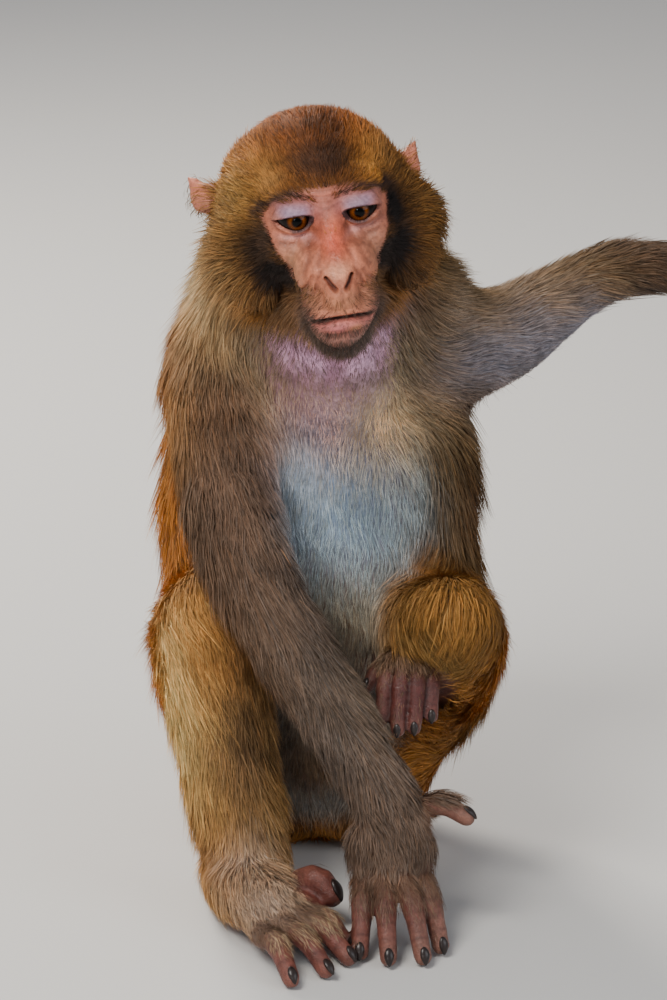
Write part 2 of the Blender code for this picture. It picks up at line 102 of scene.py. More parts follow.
def ball(centre, radii, less=0.0, within=Matrix(), turn=(0, 0, 0)):
    """A ball squeezed to three radii, each less the depth of the coat there."""
    slim = [radius - less for radius in radii]
    turned = Euler([math.radians(angle) for angle in turn]).to_matrix().to_4x4()
    place = within @ Matrix.Translation(centre) @ turned @ Matrix.Diagonal((*slim, 1))
    lump(bmesh.ops.create_uvsphere, u_segments=28, v_segments=18, radius=1, matrix=place)


def pair(centre, radii, less=0.0, turn=(0, 0, 0)):
    """The same ball on both sides of the head."""
    x, y, z = centre
    ball((x, y, z), radii, less, HEAD, turn)
    ball((-x, y, z), radii, less, HEAD, (turn[0], -turn[1], -turn[2]))


def smooth_path(rows, steps=5):
    """Rows of numbers with more rows between them, on a smooth curve through them all."""
    rows = np.asarray(rows, float)
    ends = np.vstack([2 * rows[0] - rows[1], rows, 2 * rows[-1] - rows[-2]])
    path = []
    for a, b, c, d in zip(ends, ends[1:], ends[2:], ends[3:]):
        for t in np.arange(steps) / steps:
            curve = 2 * b + (c - a) * t + (2 * a - 5 * b + 4 * c - d) * t**2
            path.append((curve + (3 * b - a - 3 * c + d) * t**3) / 2)
    return np.array(path + [rows[-1]])


def tube(stations, less=0.0, within=Matrix()):
    """A round limb through (point, radius) stations; less is the coat's depth, or one for each station."""
    less = np.broadcast_to(less, len(stations))
    rows = [(*point, radius - depth) for (point, radius), depth in zip(stations, less)]
    path = smooth_path(rows)
    for row, after in zip(path, path[1:]):
        start, end = Vector(row[:3]), Vector(after[:3])
        turned = (end - start).to_track_quat("Z", "Y").to_matrix().to_4x4()
        place = within @ Matrix.Translation((start + end) / 2) @ turned
        lump(
            bmesh.ops.create_cone,
            cap_ends=True,
            segments=20,
            radius1=row[3],
            radius2=after[3],
            depth=(end - start).length,
            matrix=place,
        )
    for row in path:
        place = within @ Matrix.Translation(row[:3])
        lump(bmesh.ops.create_uvsphere, u_segments=20, v_segments=12, radius=row[3], matrix=place)


def between(a, b, share, shift=(0, 0, 0)):
    return a.lerp(b, share) + Vector(shift)


print("helpers ready")

# %% [markdown]
# ### The head
#
# The head has its own frame, turned and tilted on the neck, so that both halves of the face can be given
# as one measure and its mirror image. The short skull, the low brow, the cheekbones and the square muzzle
# are separate masses, and bare skin there has no coat to take off.

# %% The head's frame and its masses
HEAD = Matrix.Translation((0.0, -0.0715, 0.3785))
HEAD = HEAD @ Matrix.Rotation(math.radians(5.5), 4, "Z") @ Matrix.Rotation(math.radians(5), 4, "X")
HEAD = HEAD @ Matrix.Rotation(math.radians(-8), 4, "Y")
SIDES = {"right": -1, "left": 1}
EYE_RADIUS = 0.0095
EYE_PLACES = {name: Vector((side * 0.0152, -0.0365, 0.0005)) for name, side in SIDES.items()}

ball((-0.003, 0.010, -0.003), (0.0470, 0.0540, 0.0370), 0.005, HEAD)
ball((-0.004, -0.004, -0.012), (0.0500, 0.0440, 0.0340), 0.005, HEAD)
pair((0.036, -0.004, -0.027), (0.0165, 0.0310, 0.0310), 0.0065, (0, 0, -14))
ball((0, -0.0270, 0.0095), (0.0310, 0.0175, 0.0100), 0.0015, HEAD)
ball((0, -0.0220, -0.0130), (0.0335, 0.0275, 0.0360), 0.0005, HEAD)
pair((0.0195, -0.0330, -0.0140), (0.0120, 0.0150, 0.0110))
pair((0.0085, -0.0510, -0.0230), (0.0120, 0.0180, 0.0140))
ball((0, -0.0550, -0.0400), (0.0205, 0.0285, 0.0175), 0.0005, HEAD, (14, 0, 0))
ball((0, -0.0500, -0.0550), (0.0150, 0.0220, 0.0120), 0.001, HEAD)
bridge = (((0, -0.0410, 0.0040), 0.0065), ((0, -0.0560, -0.0125), 0.0078))
tube((*bridge, ((0, -0.0735, -0.0285), 0.0085)), 0.0003, HEAD)
print("head:", len(clay), "lumps of clay so far")

# %% [markdown]
# ### Neck and trunk
#
# A sitting macaque slumps: the neck runs forward out of round shoulders and the belly rests on the
# thighs. The coat is deep on the back and thin on the chest, so the trunk's masses are set a little
# forward as they are slimmed.

# %% Neck and trunk
DEEP = 0.0085  # of the coat on the trunk
tube(
    (
        ((-0.004, -0.034, 0.362), 0.044),
        ((-0.003, -0.030, 0.338), 0.053),
        ((-0.001, -0.020, 0.308), 0.061),
        ((0.001, 0.000, 0.270), 0.064),
    ),
    (0.008, 0.009, DEEP, DEEP),
)
tube(
    (
        ((0.006, -0.085, 0.332), 0.022),
        ((0.006, -0.066, 0.305), 0.032),
        ((0.005, -0.040, 0.275), 0.040),
    ),
    0.002,
)
ball((-0.001, -0.001, 0.268), (0.076, 0.056, 0.052), DEEP)
ball((0.001, 0.002, 0.210), (0.084, 0.062, 0.075), DEEP)
ball((0.003, 0.002, 0.150), (0.086, 0.070, 0.078), DEEP)
ball((0.000, 0.014, 0.067), (0.078, 0.064, 0.073), DEEP)
ball((0.045, -0.008, 0.298), (0.034, 0.032, 0.032), DEEP)
ball((-0.040, -0.010, 0.290), (0.032, 0.032, 0.032), DEEP)
ball((-0.041, 0.008, 0.182), (0.0475, 0.056, 0.100), DEEP)
ball((0.042, 0.006, 0.205), (0.047, 0.050, 0.055), DEEP)
spine = ((0.010, 0.318), (0.036, 0.265), (0.050, 0.195), (0.050, 0.120), (0.042, 0.055))
tube([((0, y, z), radius) for (y, z), radius in zip(spine, (0.032, 0.036, 0.038, 0.038, 0.038))], DEEP)
for side in SIDES.values():
    ball((side * 0.027, 0.004, 0.013), (0.024, 0.034, 0.0165), 0.001)
print("trunk:", len(clay), "lumps of clay so far")

# %% [markdown]
# ### Arms and legs
#
# Each limb is a tube through its joints, thick where the muscle is. The palms and insteps are flat balls,
# and every finger and toe is a short tube of its own that rises a little to its middle joint. The right
# hand stands on its fingertips, the right sole is flat, and the left foot and hand are held up.

# %% Joints
RIGHT_SHOULDER, RIGHT_ELBOW = Vector((-0.053, -0.020, 0.272)), Vector((-0.032, -0.110, 0.184))
RIGHT_WRIST, RIGHT_KNUCKLES = Vector((0.033, -0.115, 0.072)), Vector((0.037, -0.121, 0.033))
LEFT_SHOULDER, LEFT_ELBOW = Vector((0.054, -0.012, 0.274)), Vector((0.150, 0.045, 0.303))
LEFT_WRIST, LEFT_KNUCKLES = Vector((0.268, 0.010, 0.295)), Vector((0.308, -0.004, 0.285))
RIGHT_HIP, RIGHT_KNEE = Vector((-0.047, 0.018, 0.078)), Vector((-0.055, -0.082, 0.163))
RIGHT_ANKLE, RIGHT_TOE_ROOTS = Vector((-0.034, -0.092, 0.031)), Vector((-0.018, -0.150, 0.012))
LEFT_HIP, LEFT_KNEE = Vector((0.052, 0.018, 0.085)), Vector((0.066, -0.110, 0.172))
LEFT_ANKLE, LEFT_TOE_ROOTS = Vector((0.050, -0.022, 0.112)), Vector((0.045, -0.100, 0.124))

DIGITS = {
    "right fingers": (
        ((0.046, -0.112, 0.064), (0.073, -0.121, 0.065)),
        ((0.050, -0.121, 0.033), (0.060, -0.143, 0.0052)),
        ((0.041, -0.125, 0.034), (0.051, -0.156, 0.0050)),
        ((0.031, -0.125, 0.033), (0.034, -0.157, 0.0050)),
        ((0.022, -0.121, 0.031), (0.020, -0.150, 0.0051)),
    ),
    "left fingers": (
        ((0.288, -0.010, 0.283), (0.300, -0.032, 0.271)),
        ((0.309, -0.014, 0.283), (0.340, -0.032, 0.271)),
        ((0.312, -0.005, 0.285), (0.351, -0.016, 0.271)),
        ((0.312, 0.003, 0.284), (0.349, 0.000, 0.270)),
        ((0.308, 0.010, 0.282), (0.338, 0.014, 0.270)),
    ),
    "right toes": (
        ((-0.009, -0.103, 0.021), (0.006, -0.113, 0.019)),
        ((-0.006, -0.128, 0.014), (0.013, -0.142, 0.0050)),
        ((-0.012, -0.136, 0.016), (0.014, -0.157, 0.0050)),
        ((-0.020, -0.142, 0.015), (0.003, -0.171, 0.0050)),
        ((-0.028, -0.146, 0.012), (-0.014, -0.182, 0.0050)),
    ),
    "left toes": (
        ((0.0360, -0.062, 0.120), (0.0240, -0.074, 0.116)),
        ((0.0360, -0.088, 0.135), (0.0300, -0.105, 0.110)),
        ((0.0420, -0.090, 0.138), (0.0385, -0.110, 0.107)),
        ((0.0490, -0.090, 0.137), (0.0470, -0.109, 0.108)),
        ((0.0550, -0.087, 0.133), (0.0555, -0.103, 0.112)),
    ),
}
BENDS = {"right fingers": 0.006, "left fingers": 0.005, "right toes": 0.006, "left toes": 0.005}
ROOT_RADIUS, TIP_RADIUS = 0.0060, 0.0047
TOE_SHARE = 0.80  # of the small toes that hang curled
BIG_TOE_SHARE = 1.30  # of the right big toe, the thickest digit
BIG_TOE = DIGITS["right toes"][0][0]


def digit_share(name, root):
    """How thick a digit is beside the others."""
    if root == BIG_TOE:
        return BIG_TOE_SHARE
    return TOE_SHARE if name == "left toes" else 1.0


print("digits:", sum(len(places) for places in DIGITS.values()))

# %% Limbs
shoulder, elbow, wrist, knuckles = RIGHT_SHOULDER, RIGHT_ELBOW, RIGHT_WRIST, RIGHT_KNUCKLES
tube(
    (
        (shoulder, 0.0340),
        (between(shoulder, elbow, 0.45, (-0.004, -0.002, -0.004)), 0.0310),
        (elbow, 0.0260),
        (between(elbow, wrist, 0.35), 0.0250),
        (between(elbow, wrist, 0.72), 0.0205),
        (wrist, 0.0155),
        (knuckles, 0.0110),
    ),
    (0.008, 0.0075, 0.007, 0.0065, 0.0055, 0.0025, 0.0005),
)
ball(between(wrist, knuckles, 0.66), (0.0225, 0.0108, 0.0260), 0.0006, turn=(8, 0, 0))
shoulder, elbow, wrist, knuckles = LEFT_SHOULDER, LEFT_ELBOW, LEFT_WRIST, LEFT_KNUCKLES
tube(
    (
        (shoulder, 0.0380),
        (between(shoulder, elbow, 0.40, (0, 0, -0.017)), 0.0305),
        (between(shoulder, elbow, 0.75, (0, 0, -0.006)), 0.0215),
        (elbow, 0.0165),
        (between(elbow, wrist, 0.30), 0.0170),
        (between(elbow, wrist, 0.70), 0.0150),
        (wrist, 0.0130),
        (knuckles, 0.0100),
    ),
    (0.008, 0.0055, 0.005, 0.0045, 0.0045, 0.004, 0.002, 0.0005),
)
ball(between(wrist, knuckles, 0.60), (0.0250, 0.0190, 0.0100), 0.0006, turn=(0, 10, -15))
hip, knee, ankle = RIGHT_HIP, RIGHT_KNEE, RIGHT_ANKLE
tube(
    (
        (hip, 0.0410),
        (between(hip, knee, 0.50, (-0.002, 0, 0)), 0.0380),
        (knee, 0.0270),
        (between(knee, ankle, 0.28, (-0.004, 0.010, 0)), 0.0320),
        (between(knee, ankle, 0.58, (-0.004, 0.010, 0)), 0.0310),
        (between(knee, ankle, 0.85, (-0.005, 0.006, 0)), 0.0260),
        (ankle, 0.0170),
    ),
    (0.008, 0.0075, 0.0065, 0.007, 0.0065, 0.0055, 0.002),
)
foot = (
    ((-0.044, -0.078, 0.0145), 0.0160),
    ((-0.036, -0.102, 0.0170), 0.0185),
    ((-0.026, -0.122, 0.0150), 0.0165),
    ((-0.019, -0.136, 0.0130), 0.0125),
)
tube(foot, 0.0008)
ball((-0.020, -0.122, 0.0130), (0.0220, 0.0240, 0.0120), 0.0006, turn=(0, 0, -28))
hip, knee, ankle = LEFT_HIP, LEFT_KNEE, LEFT_ANKLE
tube(
    ((hip, 0.0430), (between(hip, knee, 0.55, (0.006, 0, -0.002)), 0.0350), (knee, 0.0260)),
    (0.008, 0.0075, 0.0065),
)
tube(
    (
        (between(knee, ankle, 0.05), 0.0240),
        (between(knee, ankle, 0.50, (-0.010, 0, 0.004)), 0.0240),
        (ankle, 0.0170),
    ),
    (0.0065, 0.006, 0.002),
)
foot = (
    ((0.053, -0.008, 0.108), 0.0140),
    ((0.049, -0.040, 0.118), 0.0140),
    ((0.046, -0.070, 0.128), 0.0125),
    ((0.046, -0.084, 0.132), 0.0100),
)
tube(foot, 0.0008)
ball((0.0460, -0.066, 0.126), (0.0150, 0.0260, 0.0095), 0.0005, turn=(-12, 0, 0))
for name, places in DIGITS.items():
    for root, tip in places:
        share = digit_share(name, root)
        middle = between(Vector(root), Vector(tip), 0.52, (0, 0, BENDS[name]))
        radii = [radius * share for radius in (ROOT_RADIUS, (ROOT_RADIUS + TIP_RADIUS) / 2, TIP_RADIUS)]
        tube(list(zip((root, middle, tip), radii)))
print("limbs:", len(clay), "lumps of clay so far")

# %% [markdown]
# ### Tail and ears
#
# The tail is a little under half as long as head and body together, and lies on the floor behind the rump.
# It is a tube like the limbs. An ear is a thin disc that stands out from the skull. Three flat balls stand
# for the disc, its upper rim, and the small knob in front of the ear's opening.

# %% Tail and ears
TAIL = (  # x, y, z and radius
    (0.004, 0.078, 0.034, 0.0150),
    (0.012, 0.115, 0.0145, 0.0135),
    (0.022, 0.160, 0.0125, 0.0125),
    (0.020, 0.205, 0.0115, 0.0115),
    (0.006, 0.245, 0.0095, 0.0095),
    (-0.018, 0.268, 0.0075, 0.0075),
)
tube([(row[:3], row[3]) for row in TAIL], 0.0045)
EAR_SHIFT = -0.006
EARS = {}
for name, side in SIDES.items():
    ear = HEAD @ Matrix.Translation((EAR_SHIFT + side * 0.0450, 0.014, -0.009))
    EARS[name] = ear @ Matrix.Rotation(side * math.radians(38), 4, "Z")
    ball((side * 0.003, 0, 0.0035), (0.0130, 0.0040, 0.0092), 0.0002, EARS[name])
    ball((side * 0.0118, 0.001, 0.0100), (0.0042, 0.0026, 0.0082), 0.0002, EARS[name], (0, side * 42, 0))
    ball((side * 0.0050, -0.0042, 0.002), (0.0070, 0.0030, 0.0050), 0.0002, EARS[name])
print("all clay:", len(clay), "lumps")

# %% [markdown]
# ## One skin
#
# A voxel remesh fuses the pieces of clay into one closed surface. Smoothing then takes off the steps where
# balls met: a little on the hands, feet and face, and much on the trunk. Decimation leaves the skin coarse
# under the deep coat, and fine where skin shows.

# %% Fuse
VOXEL = 0.0015


def with_modifier(mesh, kind, group=None, **settings):
    """The mesh with one modifier applied; group gives a vertex group's weights."""
    holder = in_scene("holder", mesh)
    modifier = holder.modifiers.new(kind.lower(), kind)
    if group is not None:
        soft = holder.vertex_groups.new(name="soft")
        for index in np.flatnonzero(group).tolist():
            soft.add([index], 1.0, "REPLACE")
        modifier.vertex_group = "soft"
    for key, value in settings.items():
        setattr(modifier, key, value)
    bpy.context.view_layer.update()
    evaluated = holder.evaluated_get(bpy.context.evaluated_depsgraph_get())
    result = bpy.data.meshes.new_from_object(evaluated)
    bpy.data.objects.remove(holder, do_unlink=True)
    return result


def points_of(mesh):
    flat = np.empty(len(mesh.vertices) * 3)
    mesh.vertices.foreach_get("co", flat)
    return flat.reshape(-1, 3)


def put_points(mesh, points):
    mesh.vertices.foreach_set("co", points.ravel())
    mesh.update()


def edges_of(mesh):
    flat = np.empty(len(mesh.edges) * 2, int)
    mesh.edges.foreach_get("vertices", flat)
    return flat.reshape(-1, 2)


def relaxed(values, edges, rounds, weight=1.0):
    """Each point's values moved half way to the mean of its neighbours', round after round."""
    count = len(values)
    ends = np.concatenate([edges[:, 0], edges[:, 1]])
    others = np.concatenate([edges[:, 1], edges[:, 0]])
    degree = np.maximum(np.bincount(ends, minlength=count), 1)[:, None]
    weight = np.broadcast_to(np.asarray(weight, float).reshape(-1, 1), (count, 1))
    for _ in range(rounds):
        sums = [np.bincount(ends, column[others], count) for column in values.T]
        values = values + 0.5 * weight * (np.stack(sums, 1) / degree - values)
    return values


pile = bmesh.new()
for piece in clay:
    pile.from_mesh(piece)
skin_mesh = with_modifier(mesh_from(pile, "clay"), "REMESH", mode="VOXEL", voxel_size=VOXEL)
print("fused:", len(skin_mesh.polygons), "faces")


# %% Smooth, then thin the skin where the coat will hide it
def distance_to(points, start, end):
    """Each point's distance from a straight piece of bone, and how far along the bone it lies, 0 to 1."""
    start, end = np.array(start, float), np.array(end, float)
    axis = end - start
    share = np.clip((points - start) @ axis / (axis @ axis), 0, 1)
    return np.linalg.norm(points - start - share[:, None] * axis, axis=1), share


def ramp(low, high, values):
    """0 up to low, 1 from high on, and a smooth step between them."""
    t = np.clip((np.asarray(values, float) - low) / (high - low), 0, 1)
    return t * t * (3 - 2 * t)


HEAD_TURN = np.array(HEAD.to_3x3())
HEAD_PLACE = np.array(HEAD.translation)


def in_head(points):
    """Places in the head's own frame: x to its left, y to its back, z up."""
    return (points - HEAD_PLACE) @ HEAD_TURN


def out_of_head(places):
    return places @ HEAD_TURN.T + HEAD_PLACE


FINE_BONES = (  # start, end and reach of the stretches where skin shows
    (RIGHT_WRIST, RIGHT_KNUCKLES, 0.026),
    (RIGHT_KNUCKLES, (0.040, -0.150, 0.006), 0.036),
    (LEFT_WRIST, (0.345, -0.010, 0.275), 0.040),
    ((-0.038, -0.090, 0.014), (-0.005, -0.170, 0.006), 0.034),
    ((0.050, -0.030, 0.115), (0.043, -0.105, 0.122), 0.030),
)


def is_fine(points):
    """True on the hands, the feet, the ears and the face."""
    found = np.zeros(len(points), bool)
    for start, end, reach in FINE_BONES:
        found |= distance_to(points, start, end)[0] < reach
    for root, tip in sum(DIGITS.values(), ()):
        found |= distance_to(points, root, tip)[0] < 0.011
    for ear in EARS.values():
        found |= np.linalg.norm(points - np.array(ear.translation), axis=1) < 0.017
    at = in_head(points)
    face = (at[:, 1] < -0.020) & (np.abs(at[:, 0]) < 0.036) & (at[:, 2] < 0.020) & (at[:, 2] > -0.07)
    return found | face


points = relaxed(points_of(skin_mesh), edges_of(skin_mesh), 4)
fine = is_fine(points)
points = relaxed(points, edges_of(skin_mesh), 24, ~fine)
put_points(skin_mesh, points)
skin_mesh = with_modifier(skin_mesh, "DECIMATE", group=~fine, ratio=0.24)
points = points_of(skin_mesh)
at = in_head(points)
trunk = ramp(0.330, 0.300, points[:, 2]) * ~is_fine(points)
points = relaxed(points, edges_of(skin_mesh), 25, trunk)
put_points(skin_mesh, points)
print("thinned:", len(skin_mesh.polygons), "faces")

# %% [markdown]
# ## The face
#
# The head gets the most care. The face is subdivided where it needs folds, and then its points are moved
# by small rules, each in the head's frame: lids over the eyeballs, the folds above and below them, the
# nostrils, the mouth and its lips. Sculpting by hand is the usual way. Rules do the same here, and can be
# changed one at a time.

# %% Subdivide the face
def subdivided(mesh, chosen):
    """The mesh with each edge cut in two whose ends are both chosen."""
    shape = bmesh.new()
    shape.from_mesh(mesh)
    shape.verts.ensure_lookup_table()
    edges = [edge for edge in shape.edges if chosen[edge.verts[0].index] and chosen[edge.verts[1].index]]
    bmesh.ops.subdivide_edges(shape, edges=edges, cuts=1, use_grid_fill=True)
    shape.to_mesh(mesh)
    shape.free()
    return mesh


def near_eyes(at, reach):
    found = np.zeros(len(at), bool)
    for place in EYE_PLACES.values():
        away = (at - np.array(place)) / (1.05, 1.0, 0.95)
        found |= (np.linalg.norm(away, axis=1) < reach) & (at[:, 1] < -0.036)
    return found


def near_mouth_or_nose(at):
    """True on the front of the muzzle."""
    return (at[:, 1] < -0.062) & (np.abs(at[:, 0]) < 0.018) & (at[:, 2] > -0.048) & (at[:, 2] < -0.016)


at = in_head(points_of(skin_mesh))
face = (at[:, 1] < -0.033) & (np.abs(at[:, 0]) < 0.028) & (at[:, 2] < 0.014) & (at[:, 2] > -0.058)
skin_mesh = subdivided(skin_mesh, face)
at = in_head(points_of(skin_mesh))
skin_mesh = subdivided(skin_mesh, near_eyes(at, 0.0135) | near_mouth_or_nose(at))
points = points_of(skin_mesh)
at = in_head(points)
points = relaxed(points, edges_of(skin_mesh), 3, (at[:, 1] < -0.025) & (at[:, 2] > -0.07))
skin_mesh.calc_loop_triangles()
print("skin:", len(skin_mesh.loop_triangles), "triangles")

# %% [markdown]
# ### Eyes half closed
#
# A lid is a sheet about a millimetre thick that slides over the eyeball. So the skin near each eye is set
# on a slightly larger ball, and inside the opening it dips behind the eyeball. The opening is almost flat
# above and round below, as in a calm animal that looks down. The upper lid is a broad smooth dome that ends
# in a fold under the brow.

# %% Lids
LID = 0.0012  # thickness
OPEN_HALF_WIDTH = 0.0086


def lid_edges(x):
    """How high the upper and lower lids' edges run on the ball, x being the place across the eye."""
    bow = np.clip(1 - (x / OPEN_HALF_WIDTH) ** 2, 0, 1)
    return 0.0015 + 0.0022 * bow**0.6, 0.0015 - 0.0062 * bow**0.65


at = in_head(points)
for name, place in EYE_PLACES.items():
    off = at - np.array(place)
    far = np.linalg.norm(off, axis=1)
    across, forward, up = off[:, 0], -off[:, 1], off[:, 2]
    ball_radius = EYE_RADIUS + LID
    height = ball_radius * np.arctan2(up, forward)
    upper, lower = lid_edges(across)
    above, below, aside = height - upper, lower - height, np.abs(across) - OPEN_HALF_WIDTH
    outside = np.maximum(np.maximum(above, below), aside)
    inner = across * SIDES[name] < 0
    hold_above = 1 - ramp(0.0085, 0.0125, above)
    hold_below = 1 - ramp(0.0020, 0.0075, below)
    hold_aside = 1 - ramp(0.0005, np.where(inner, 0.0045, 0.0050), aside)
    hold = np.minimum(np.minimum(hold_above, hold_below), hold_aside)
    hold *= (forward > -0.002) * (1 - ramp(0.016, 0.020, far))
    lid = ball_radius + 0.0003 * np.exp(-((outside - 0.0007) / 0.0006) ** 2)
    lid = lid - 0.0006 * np.exp(-((above - 0.0088) / 0.0010) ** 2)
    lid = lid - 0.00025 * np.exp(-((above - 0.0045) / 0.0006) ** 2)
    lid = lid - 0.00030 * np.exp(-((below - 0.0026) / 0.0006) ** 2)
    wide = 1 + 0.10 * (across / OPEN_HALF_WIDTH) ** 2
    target = np.where(outside > 0, lid * wide, ball_radius)
    pit = EYE_RADIUS - 0.0022
    target = target + (pit - target) * (1 - ramp(-0.0006, 0.0001, outside))
    radius = far + (target - far) * hold
    covering = (outside > 0) & (forward > -0.004) & (far < 0.014)
    radius = np.where(covering, np.maximum(radius, EYE_RADIUS + 0.0011), radius)
    at = np.array(place) + off * (radius / np.maximum(far, 1e-6))[:, None]
print("lids:", int((hold > 0.5).sum()), "points on each")


# %% [markdown]
# ### Folds, nose and mouth
#
# A macaque's nose is flat, with two slits that run down and in. The mouth is a long thin line with a
# rolled lower lip. Creases run from the inner eyes down the cheeks and fan over the muzzle.

# %% Nose, mouth and creases
def along_line(at, start, end):
    """How far each place is from a line drawn on the face, seen from in front, and the share along it."""
    start, end = np.array(start, float), np.array(end, float)
    flat = at[:, [0, 2]]
    axis = end - start
    share = np.clip((flat - start) @ axis / (axis @ axis), 0, 1)
    return np.linalg.norm(flat - start - share[:, None] * axis, axis=1), share


# Painted shade for the creases of the face: each groove leaves a weight here, and the skin is darkened by it
# later
folds = np.zeros(len(at))


def groove(line, width, depth, nearest=-0.045, dark=0.5):
    """Pushes the skin back along a line on the front of the face; a negative depth raises a ridge."""
    gap = np.min([along_line(at, a, b)[0] for a, b in zip(line, line[1:])], axis=0)
    weight = np.exp(-((gap / width) ** 2)) * ramp(nearest + 0.004, nearest - 0.002, at[:, 1])
    at[:, 1] += depth * weight
    # A groove that is pressed in also gets painted shade along it
    if depth > 0:
        folds[:] = np.maximum(folds, dark * weight)


SIDE_GROOVES = (  # (x, z) points on the left side, then width, depth, how far back it reaches, and how strong the painted shade in it is
    (((0.0074, -0.0185), (0.0082, -0.0235)), 0.0026, -0.0020, -0.060, 0.5),  # wing of the nose
    (((0.0061, -0.0196), (0.0046, -0.0216), (0.0027, -0.0232)), 0.0010, 0.0040, -0.058, 1.1),  # nostril
    (((0.0082, -0.0172), (0.0108, -0.0215), (0.0112, -0.0260)), 0.0010, 0.0012, -0.055, 0.5),
    (((0.0074, -0.0030), (0.0116, -0.0105), (0.0160, -0.0190)), 0.0013, 0.0014, -0.045, 0.45),
    (((0.0056, -0.0085), (0.0086, -0.0150)), 0.0010, 0.0009, -0.045, 0.35),
    (((0.0240, -0.0090), (0.0150, -0.0112), (0.0090, -0.0085)), 0.0011, 0.0007, -0.038, 0.4),  # under the eye
    (((0.0215, -0.0130), (0.0150, -0.0148)), 0.0010, 0.0005, -0.038, 0.3),
    (((0.0125, -0.0200), (0.0170, -0.0290), (0.0180, -0.0370)), 0.0013, 0.0014, -0.045, 0.4),  # cheek
    (((0.0155, -0.0250), (0.0200, -0.0320)), 0.0010, 0.0009, -0.045, 0.35),
    (((0.0060, -0.0275), (0.0100, -0.0330)), 0.0009, 0.0005, -0.060, 0.3),
    (((0.0270, 0.0100), (0.0305, 0.0020), (0.0290, -0.0060)), 0.0010, 0.0006, -0.026, 0.35),
)
for side in SIDES.values():
    for line, *cut in SIDE_GROOVES:
        groove([(side * x, z) for x, z in line], *cut)
groove(((0, -0.0205), (0, -0.0300)), 0.0014, 0.0007, -0.060, 0.35)
groove(((0, -0.0120), (0, -0.0170)), 0.0016, 0.0005, -0.055, 0.3)
for height in (0.0060, 0.0082, 0.0104, 0.0126):
    wrinkle = ((-0.0070, height + 0.0006), (0.0000, height), (0.0070, height + 0.0004))
    groove(wrinkle, 0.0007, 0.0005, -0.035, 0.4)
for bump in (-0.0035, 0.0035):
    groove(((bump, -0.0150), (bump * 1.3, -0.0165)), 0.0024, -0.0007, -0.055)
mouth = [(x, -0.0372 - 14.0 * x * x) for x in np.linspace(-0.0152, 0.0134, 9)]
groove([(x, z + 0.0022) for x, z in mouth], 0.0018, -0.0009)
groove([(x, z - 0.0034) for x, z in mouth[1:-1]], 0.0024, -0.0017)
groove(mouth, 0.0009, 0.0034, -0.045, 1.0)
groove([(x, z - 0.0078) for x, z in mouth[2:-2]], 0.0018, 0.0012, -0.045, 0.4)


def chin_share(heights):
    """0 above the lips and below the head, 1 at the chin, which is narrower and set a little to the right."""
    return ramp(-0.034, -0.054, heights) * ramp(-0.094, -0.076, heights)


CHIN_NARROWING, CHIN_SHIFT = 0.17, 0.0024
lower = chin_share(at[:, 2]) * ramp(-0.036, -0.050, at[:, 1])
at[:, 0] = at[:, 0] * (1 - CHIN_NARROWING * lower) - CHIN_SHIFT * lower
mouth = [(x * (1 - CHIN_NARROWING * chin_share(z)) - CHIN_SHIFT * chin_share(z), z) for x, z in mouth]
points = out_of_head(at)
put_points(skin_mesh, points)
print("face sculpted")

# %% [markdown]
# ## Fingers and toes
#
# Digits that lie close together fuse in the clay, so a groove is pressed in along the line that is as far
# from one as from the next. Each middle joint swells a little, and soles and pads are laid on the floor.

# %% Part the digits
FLOOR_GAP = 0.0002  # so that nothing lies in the plane of the floor
skin_shape = bmesh.new()
skin_shape.from_mesh(skin_mesh)
bmesh.ops.triangulate(skin_shape, faces=skin_shape.faces)
skin_shape.normal_update()
skin_shape.to_mesh(skin_mesh)
skin_shape.free()


def normals_of(mesh):
    flat = np.empty(len(mesh.vertices) * 3, np.float32)
    mesh.vertices.foreach_get("normal", flat)
    return flat.reshape(-1, 3).astype(float)


points, normals = points_of(skin_mesh), normals_of(skin_mesh)
gaps, bulge = [], np.zeros(len(points))
for name, places in DIGITS.items():
    for root, tip in places:
        middle = between(Vector(root), Vector(tip), 0.52, (0, 0, BENDS[name]))
        first, second = distance_to(points, root, middle)[0], distance_to(points, middle, tip)[0]
        gaps.append(np.minimum(first, second))
        bulge += np.exp(-((np.linalg.norm(points - np.array(middle), axis=1) / 0.0055) ** 2))
        bulge += 0.7 * np.exp(-((np.linalg.norm(points - np.array(root), axis=1) / 0.0070) ** 2))
gaps = np.sort(gaps, axis=0)
seam = np.exp(-(((gaps[1] - gaps[0]) / 0.0013) ** 2)) * ramp(0.0090, 0.0060, gaps[0])
points += normals * (0.0011 * np.minimum(bulge, 1.2) - 0.0019 * seam)[:, None]
print("seams:", int((seam > 0.5).sum()), "points")

# %% [markdown]
# ### Pleats on the throat
#
# Loose skin under the chin gathers in soft level pleats that dip in the middle. A sine wave over the height,
# bent by a parabola and faded out around the throat, moves the points in and out. Bump would be cheaper,
# but the hair that grows there has to stand on the real surface.

# %% Pleat the throat, and lay the soles and pads on the floor
away = (points - (0.006, -0.095, 0.292)) / (0.050, 0.045, 0.030)  # from the middle of the throat
PLEAT_HEIGHT, PLEAT_DEPTH = 0.0105, 0.0010
FULL_TURN = 6.28
curve = 2.2 * (points[:, 0] - 0.008) ** 2 / 0.05
from_head = np.linalg.norm((in_head(points) - (0, -0.03, -0.02)) / 0.05, axis=1)
pleat = np.sin((points[:, 2] - curve) * FULL_TURN / PLEAT_HEIGHT)
pleat *= np.exp(-(away**2).sum(1)) * ramp(0.9, 1.1, from_head)
points += normals * (PLEAT_DEPTH * pleat)[:, None]
points[:, 2] = np.maximum(points[:, 2], FLOOR_GAP)
put_points(skin_mesh, points)
print("pleats:", int((np.abs(pleat) > 0.5).sum()), "points")

# %% [markdown]
# ## Dabs
#
# A dab is a soft round brush: it moves a number or a colour towards a new one near one place, most at its
# centre. Painting by hand does the same, but a table of dabs can be read and changed.

